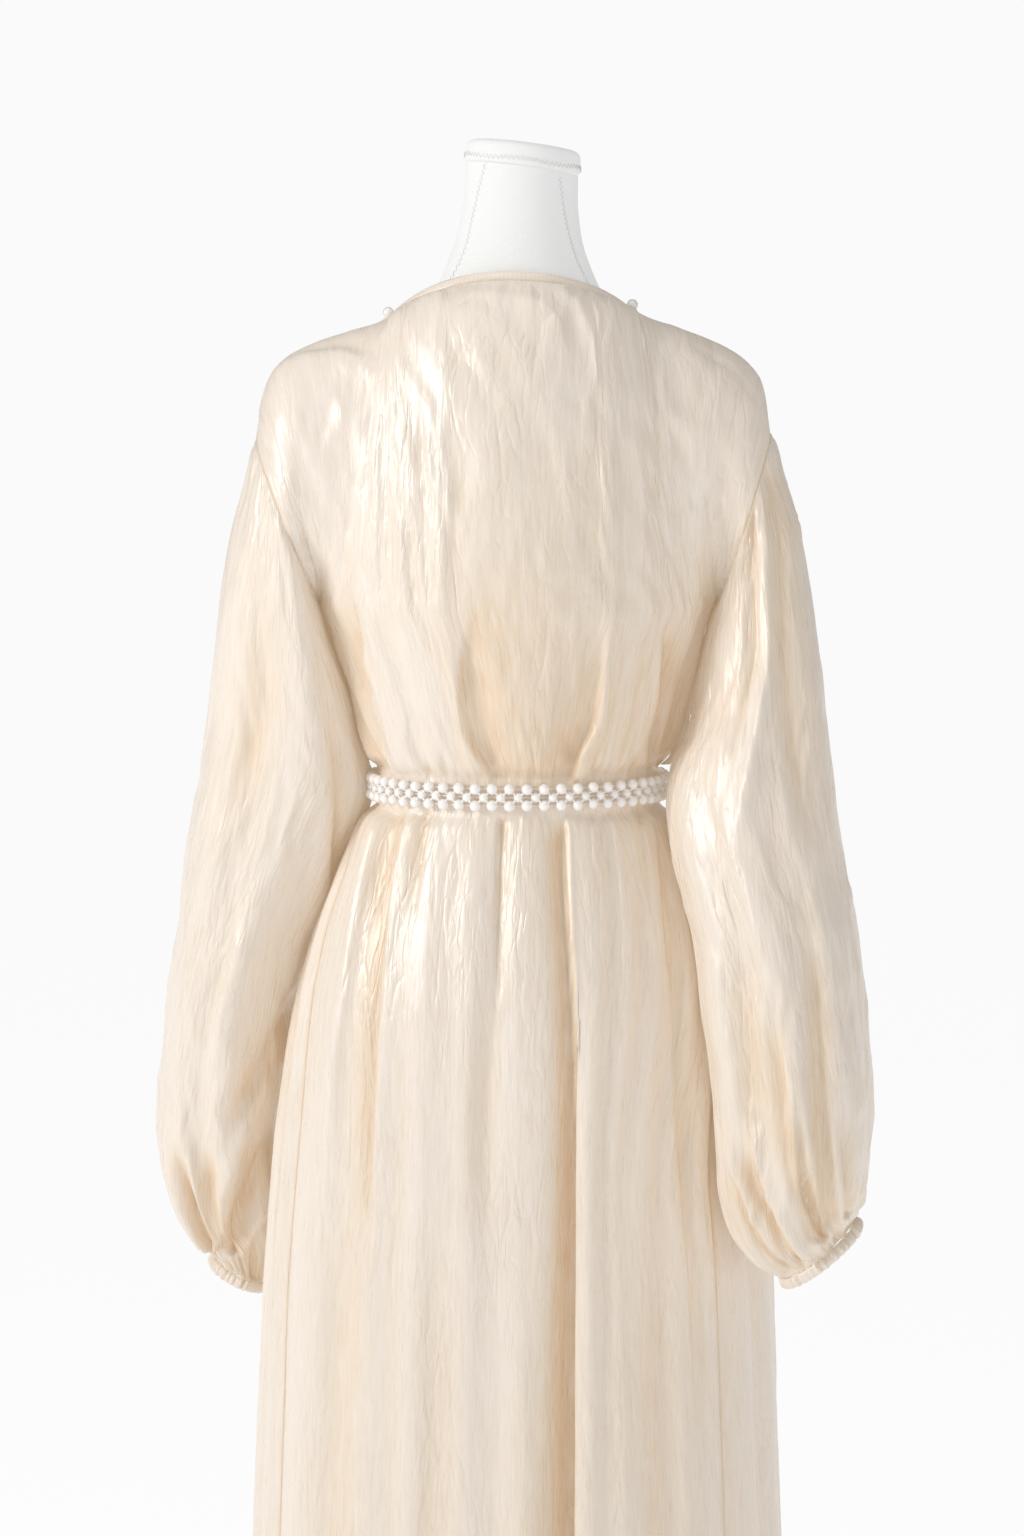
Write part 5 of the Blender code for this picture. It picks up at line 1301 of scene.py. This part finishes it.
def trimStations(side, perPearl):
    points = frontGrid(side, 3, [underarmHeight], 7)[0]
    edge, beside = ([Vector(p) for p in points[:, k]] for k in (-1, -2))
    lengths = [0.0]
    for a, b in zip(edge, edge[1:]):
        lengths.append(lengths[-1] + (b - a).length)
    start, end = pearls["trimStart"], lengths[-1] - pearls["trimEnd"]
    count = perPearl * round((end - start) / pearls["trimPitch"])
    stations = []
    for k in range(count + 1):
        where = start + (end - start) * k / count
        i = 0
        while i < len(edge) - 2 and where > lengths[i + 1]:
            i += 1
        share = (where - lengths[i]) / (lengths[i + 1] - lengths[i])
        point = edge[i].lerp(edge[i + 1], share)
        across = (beside[i].lerp(beside[i + 1], share) - point).normalized()
        outward = (edge[i + 1] - edge[i]).normalized().cross(across).normalized()
        if outward.y > 0:
            outward.negate()
        stations.append((point, across, outward))
    return stations


def makeTrim(side, pearl, surface):
    name, look = "frontTrimLeft" if side > 0 else "frontTrimRight", trimBand
    half = 0.5 * look["width"]
    spots = [(point + across * half + outward * pearls["trimBead"], pearls["trimBead"])
             for point, across, outward in trimStations(side, 2)[1::2]]
    # The last pearl stands proud of the shoulder
    highest = max(range(len(spots)), key=lambda k: spots[k][0].z)
    spots[highest] = (spots[highest][0] + Vector(look["proud"]), look["larger"] * spots[highest][1])
    beads = addBeads(name + "Pearls", spots, pearl, 14, 10)
    stations, section = trimStations(side, look["perPearl"]), look["section"]
    rows = []
    for k in range(section):
        t = 2 * math.pi * k / section
        offset = half - half * math.cos(t)
        rise = look["rise"] + 0.5 * look["thickness"] * squareSine(t)
        rows.append([point + across * offset + outward * (rise + look["ripple"] * math.cos(2.2 * i))
                     for i, (point, across, outward) in enumerate(stations)])
    points = np.array(rows + rows[:1])
    band = clothMesh(name + "Band", points, np.linspace(0, look["length"], len(stations)),
                     np.linspace(0, look["girth"], section + 1), np.full(points.shape[:2], 0.5), surface, 0,
                     filled=True, turned=True)
    return beads, band


# Dress form and stand

formShape = dict(columns=96, rowsPerRing=5, leanFrom=1.44, leanOver=0.09, crease=50)
capShape = dict(profile=[(0.0, 0.0), (0.55, 0.0), (0.985, 0.0), (1.012, 0.0012), (1.020, 0.0040), (1.012, 0.0080),
                         (1.004, 0.0120), (0.992, 0.0150), (0.955, 0.0176), (0.88, 0.0190), (0.70, 0.0198),
                         (0.35, 0.0202), (0.0, 0.0203)], columns=96, radius=0.0462, deeper=1.02)


def formPoint(z, turn=None, x=None):
    # A point of the form by its turn from the left, or by its x behind the middle
    places = [ring["z"] for ring in formRings]
    halfWidth, depth, middle, power = (curveValue(places, [ring[key] for ring in formRings], z)
                                       for key in ("halfWidth", "depth", "y", "power"))
    lean = min(1.0, max(0.0, (z - formShape["leanFrom"]) / formShape["leanOver"]))
    if turn is None:
        turn = math.acos(max(-1, min(1, (x - formNeckShift * lean) / halfWidth)))
    side, back = math.cos(turn), math.sin(turn)
    size = (abs(side) ** power + abs(back) ** power) ** (-1 / power)
    x = halfWidth * side * size
    rise = x * math.tan(math.radians(formNeckLean)) * lean
    return Vector((x + formNeckShift * lean, middle + depth * back * size, z + rise)), turn


def addSolid(name, bm, surface):
    made = addPiece(name, bm, surface)
    made.data.set_sharp_from_angle(angle=math.radians(formShape["crease"]))
    return made


def makeForm(surface):
    columns, steps = formShape["columns"], formShape["rowsPerRing"]
    heights = [a["z"] + (b["z"] - a["z"]) * k / steps for a, b in zip(formRings, formRings[1:]) for k in range(steps)]
    heights.append(formRings[-1]["z"])
    turns = [2 * math.pi * k / columns for k in range(columns)]
    bm = wrapGrid([[formPoint(z, turn)[0] for turn in turns] for z in heights], columns)[0]
    closeUp(bm, 0.00001)
    return addSolid("formTorso", bm, surface)


def capPoint(turn, size, height):
    tilt = math.radians(formNeckLean)
    last = formRings[-1]
    x, y = (capShape["radius"] * size * part for part in (math.cos(turn), capShape["deeper"] * math.sin(turn)))
    return Vector((formNeckShift + x * math.cos(tilt) - height * math.sin(tilt), last["y"] + y,
                   last["z"] + seamGap + x * math.sin(tilt) + height * math.cos(tilt)))


def makeCap(surface):
    columns = capShape["columns"]
    turns = [2 * math.pi * k / columns for k in range(columns)]
    bm = wrapGrid([[capPoint(turn, size, height) for turn in turns] for size, height in capShape["profile"]],
                  columns)[0]
    closeUp(bm, 0.00001)
    made = addSolid("formNeckCap", bm, surface)
    smooth = made.modifiers.new("smooth", "SUBSURF")
    smooth.levels = smooth.render_levels = 1
    return made


# Overlock stitches round the cap's lower edge and down the two back seams of the neck, whose
# lines are (z, x)
stitching = dict(pitch=0.0021, reach=0.0016, radius=0.00028, proud=0.0003, seamLength=0.115, capSize=1.022,
                 capHeight=0.0052, capWave=0.0008)
neckSeams = dict(
    neckSeamLeft=((1.428, 0.0700), (1.446, 0.0560), (1.472, 0.0426), (1.505, 0.0344), (1.5375, 0.0262)),
    neckSeamRight=((1.428, -0.0700), (1.446, -0.0570), (1.472, -0.0450), (1.505, -0.0370), (1.5335, -0.0330)))


def zigzag(name, path, outs, surface):
    # A thread that runs to and fro along its line
    made = []
    for i, (point, out) in enumerate(zip(path, outs)):
        across = pathAhead(path, i).cross(out).normalized()
        made.append(point + across * (stitching["reach"] * (1 if i % 2 else -1)) + out * stitching["proud"])
    tubeAlong(name, made, stitching["radius"], surface, 5)


def makeFormStitches(surface):
    look = stitching
    count = int(2 * math.pi * capShape["radius"] / look["pitch"])
    turns = [2 * math.pi * k / count for k in range(count + 1)]
    path = [capPoint(turn, look["capSize"], look["capHeight"] + look["capWave"] * math.sin(5 * turn))
            for turn in turns]
    zigzag("capStitch", path, [Vector((math.cos(turn), math.sin(turn), 0)) for turn in turns], surface)
    steps = int(look["seamLength"] / look["pitch"])
    for name, line in neckSeams.items():
        places, values = zip(*line)
        path, outs = [], []
        for k in range(steps + 1):
            z = places[-1] + (places[0] - places[-1]) * k / steps
            point, turn = formPoint(z, x=curveValue(places, values, z))
            path.append(point)
            outs.append(Vector((math.cos(turn), math.sin(turn), 0.15)).normalized())
        zigzag(name, path, outs, surface)


# Materials

slub = dict(fine=(640, 40), streak=(260, 28), cloud=(34, 5), slub=(420, 26), weave=(2600, 1500),
            creases=(((58, 12), 0.80), ((110, 26), 0.50)), creaseWidth=0.085)


def makeSlubGroup():
    # Satin with uneven threads. Coord is the cloth's own u and v in metres, v along the threads.
    tree = bpy.data.node_groups.new("slubSatin", "ShaderNodeTree")
    tree.interface.new_socket("Coord", in_out="INPUT", socket_type="NodeSocketVector")
    for label in ("Streak", "Cloud", "Slub", "Height"):
        tree.interface.new_socket(label, in_out="OUTPUT", socket_type="NodeSocketFloat")
    coord = tree.nodes.new("NodeGroupInput").outputs["Coord"]

    def threads(scale, detail, roughness):
        return noiseOn(coord, (*scale, 1.0), noise_dimensions="2D", Scale=1.0, Detail=detail, Roughness=roughness)

    fine = threads(slub["fine"], 3.0, 0.6)
    streak = threads(slub["streak"], 3.0, 0.6)
    cloud = threads(slub["cloud"], 2.0, 0.5)
    weave = threads(slub["weave"], 1.0, 0.5)
    # Crisp little creases along the level lines of two slow noises
    lines = []
    for scale, share in slub["creases"]:
        slow = calc("ABSOLUTE", calc("SUBTRACT", threads(scale, 1.5, 0.5), 0.5))
        lines.append((stretch(slow, 0.0, slub["creaseWidth"]), share))
    creased = calc("MULTIPLY", weighted(*lines), stretch(cloud, 0.30, 0.62))
    feed(tree.nodes.new("NodeGroupOutput"), {
        "Streak": stretch(weighted((fine, 0.45), (streak, 0.55)), 0.3, 0.7), "Cloud": stretch(cloud, 0.3, 0.7),
        "Slub": stretch(threads(slub["slub"], 1.0, 0.4), 0.62, 0.78),
        "Height": calc("ADD", weighted((streak, 0.45), (fine, 0.12), (weave, 0.06)), creased)})
    return tree


# light is the cloth's own colour. The warm shade and deep shade colours are painted shade and the pale one a painted
# highlight; the warm and pale ones also tint the threads' own mottle, streaks and slubs. The glow is painted light.
satinLook = dict(light=(0.748, 0.674, 0.600), warmShadeAndMottle=(0.700, 0.545, 0.375), paleThreadsAndHighlight=(0.870, 0.835, 0.790),
                 deepShade=(0.600, 0.395, 0.220), roughness=0.335, roughSpread=0.22, bump=0.0007, bumpStrength=0.8,
                 through=(0.80, 0.60, 0.38), glow=0.125, specular=0.9, sheen=0.12, sheenRoughness=0.35)


def makeSatin():
    look = satinLook
    made, tree, shader = newMaterial("champagneSatin", look["light"], look["roughness"])
    uv = addNode(tree, "ShaderNodeUVMap", uv_map="cloth").outputs["UV"]
    cloth = addNode(tree, "ShaderNodeGroup", node_tree=makeSlubGroup(), Coord=uv).outputs
    paintedShade = addNode(tree, "ShaderNodeAttribute", attribute_name="paintedShade").outputs["Fac"]
    colour = look["light"]
    # Painted shade, warm in the valleys and deeper at their bottoms, a painted highlight on the crests, and the
    # threads' own streaks, mottle and slubs
    for mask, share, tint in ((stretch(paintedShade, 0.50, 0.92), 0.85, "warmShadeAndMottle"), (stretch(paintedShade, 0.80, 1.0), 0.45, "deepShade"),
                              (stretch(paintedShade, 0.46, 0.10), 0.60, "paleThreadsAndHighlight"), (cloth["Streak"], 0.42, "paleThreadsAndHighlight"),
                              (cloth["Cloud"], 0.11, "warmShadeAndMottle"), (cloth["Slub"], 0.25, "paleThreadsAndHighlight")):
        colour = mixColours(calc("MULTIPLY", mask, share), colour, look[tint])
    rough = calc("ADD", calc("MULTIPLY", cloth["Streak"], look["roughSpread"]),
                 look["roughness"] - 0.5 * look["roughSpread"])
    # The emission is a painted glow that lifts the shade, standing in for light that comes through the thin cloth
    feed(shader, {"Base Color": colour, "Roughness": rough, "Emission Color": look["through"],
                  "Emission Strength": look["glow"], "Specular IOR Level": look["specular"],
                  "Sheen Weight": look["sheen"], "Sheen Roughness": look["sheenRoughness"],
                  "Normal": addBump(tree, cloth["Height"], look["bumpStrength"], look["bump"])})
    return made


def objectPlaces(tree):
    return tree.nodes.new("ShaderNodeTexCoord").outputs["Object"]


def makePearl():
    made, tree, shader = newMaterial("pearl", (0.90, 0.875, 0.85), 0.22)
    blush = noiseOn(objectPlaces(tree), (1, 1, 1), Scale=260)
    # Painted shade: the pearl's colour darkens toward its rim
    facing = addNode(tree, "ShaderNodeLayerWeight", Blend=0.35).outputs["Facing"]
    colour = mixColours(facing, (0.95, 0.93, 0.91), (0.66, 0.59, 0.54))
    colour = mixColours(calc("MULTIPLY", blush, 0.12), colour, (0.95, 0.84, 0.76))
    # The emission is a painted glow that lifts the pearl's shade
    feed(shader, {"Base Color": colour, "Emission Color": colour, "Emission Strength": 0.09, "Coat Weight": 1.0,
                  "Coat Roughness": 0.05, "Specular IOR Level": 0.6})
    return made


def makeJersey():
    made, tree, shader = newMaterial("jersey", (0.86, 0.865, 0.86), 0.88)
    places = objectPlaces(tree)
    knit = noiseOn(places, (1.0, 1.0, 2.2), Scale=900, Detail=2)
    lint = noiseOn(places, (1.0, 1.0, 2.2), Scale=240, Detail=1)
    colour = mixColours(knit, (0.60, 0.605, 0.60), (0.54, 0.55, 0.54))
    colour = mixColours(calc("MULTIPLY", stretch(lint, 0.70, 0.76), 0.5), colour, (0.66, 0.66, 0.64))
    # The emission is a painted glow that lifts the jersey's shade
    feed(shader, {"Base Color": colour, "Emission Color": colour, "Emission Strength": 0.55, "Sheen Weight": 0.2,
                  "Normal": addBump(tree, knit, 0.35, 0.0004)})
    return made


def makeGlass():
    made, tree, shader = newMaterial("seedGlass", (0.86, 0.83, 0.79), 0.12)
    # The emission is a painted glow that lifts the beads' shade
    feed(shader, {"Emission Color": (0.86, 0.80, 0.73), "Emission Strength": 0.08, "Coat Weight": 0.5,
                  "Specular IOR Level": 0.8})
    return made


def makeSteel(name, colour, roughness):
    made, tree, shader = newMaterial(name, colour, roughness, 1.0)
    brushed = noiseOn(objectPlaces(tree), (1.0, 1.0, 60.0), Scale=12, Detail=4)
    feed(shader, {"Roughness": calc("ADD", calc("MULTIPLY", brushed, 0.16), roughness - 0.08)})
    return made


# Everything together

def main():
    print("camera and room")
    makeCamera()
    makeRoom()
    satin, pearl, glass, jersey = makeSatin(), makePearl(), makeGlass(), makeJersey()
    steel = makeSteel("standSteel", (0.62, 0.62, 0.63), 0.34)
    plated = makeSteel("claspMetal", (0.78, 0.76, 0.72), 0.20)
    thread = newMaterial("formThread", (0.84, 0.85, 0.84), 0.7)[0]

    print("panels")
    back = makeBack(satin)
    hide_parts("back_panel")
    makeFray(satin)
    fronts = {side: makeFront(side, satin) for side in (1, -1)}
    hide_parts("front_panel_left")
    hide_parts("front_panel_right")

    print("sleeves and cuffs")
    sleeves = {side: makeSleeve(side, satin) for side in (1, -1)}
    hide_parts("sleeve_left")
    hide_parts("sleeve_right")
    cuffs = {side: makeCuff(side, satin) for side in (1, -1)}
    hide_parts("cuff_left")
    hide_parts("cuff_right")

    print("binding, belt and trims")
    strip = makeBinding(satin)
    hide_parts("neck_binding")
    belt, seeds = makeBelt(pearl, glass)
    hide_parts("pearl_belt")
    makeThreads(glass)
    for side, node in ((1, "front_trim_left"), (-1, "front_trim_right")):
        beads, band = makeTrim(side, pearl, satin)
        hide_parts(node)

    print("dress form and stand")
    torso = makeForm(jersey)
    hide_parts("form_torso")
    cap = makeCap(jersey)
    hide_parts("form_neck_cap")
    makeFormStitches(thread)
    for node, surface in (("belt_clasp", plated), ("stand_pole", steel), ("stand_base", steel)):
        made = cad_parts[node]
        made.data.materials.clear()
        made.data.materials.append(surface)

main()
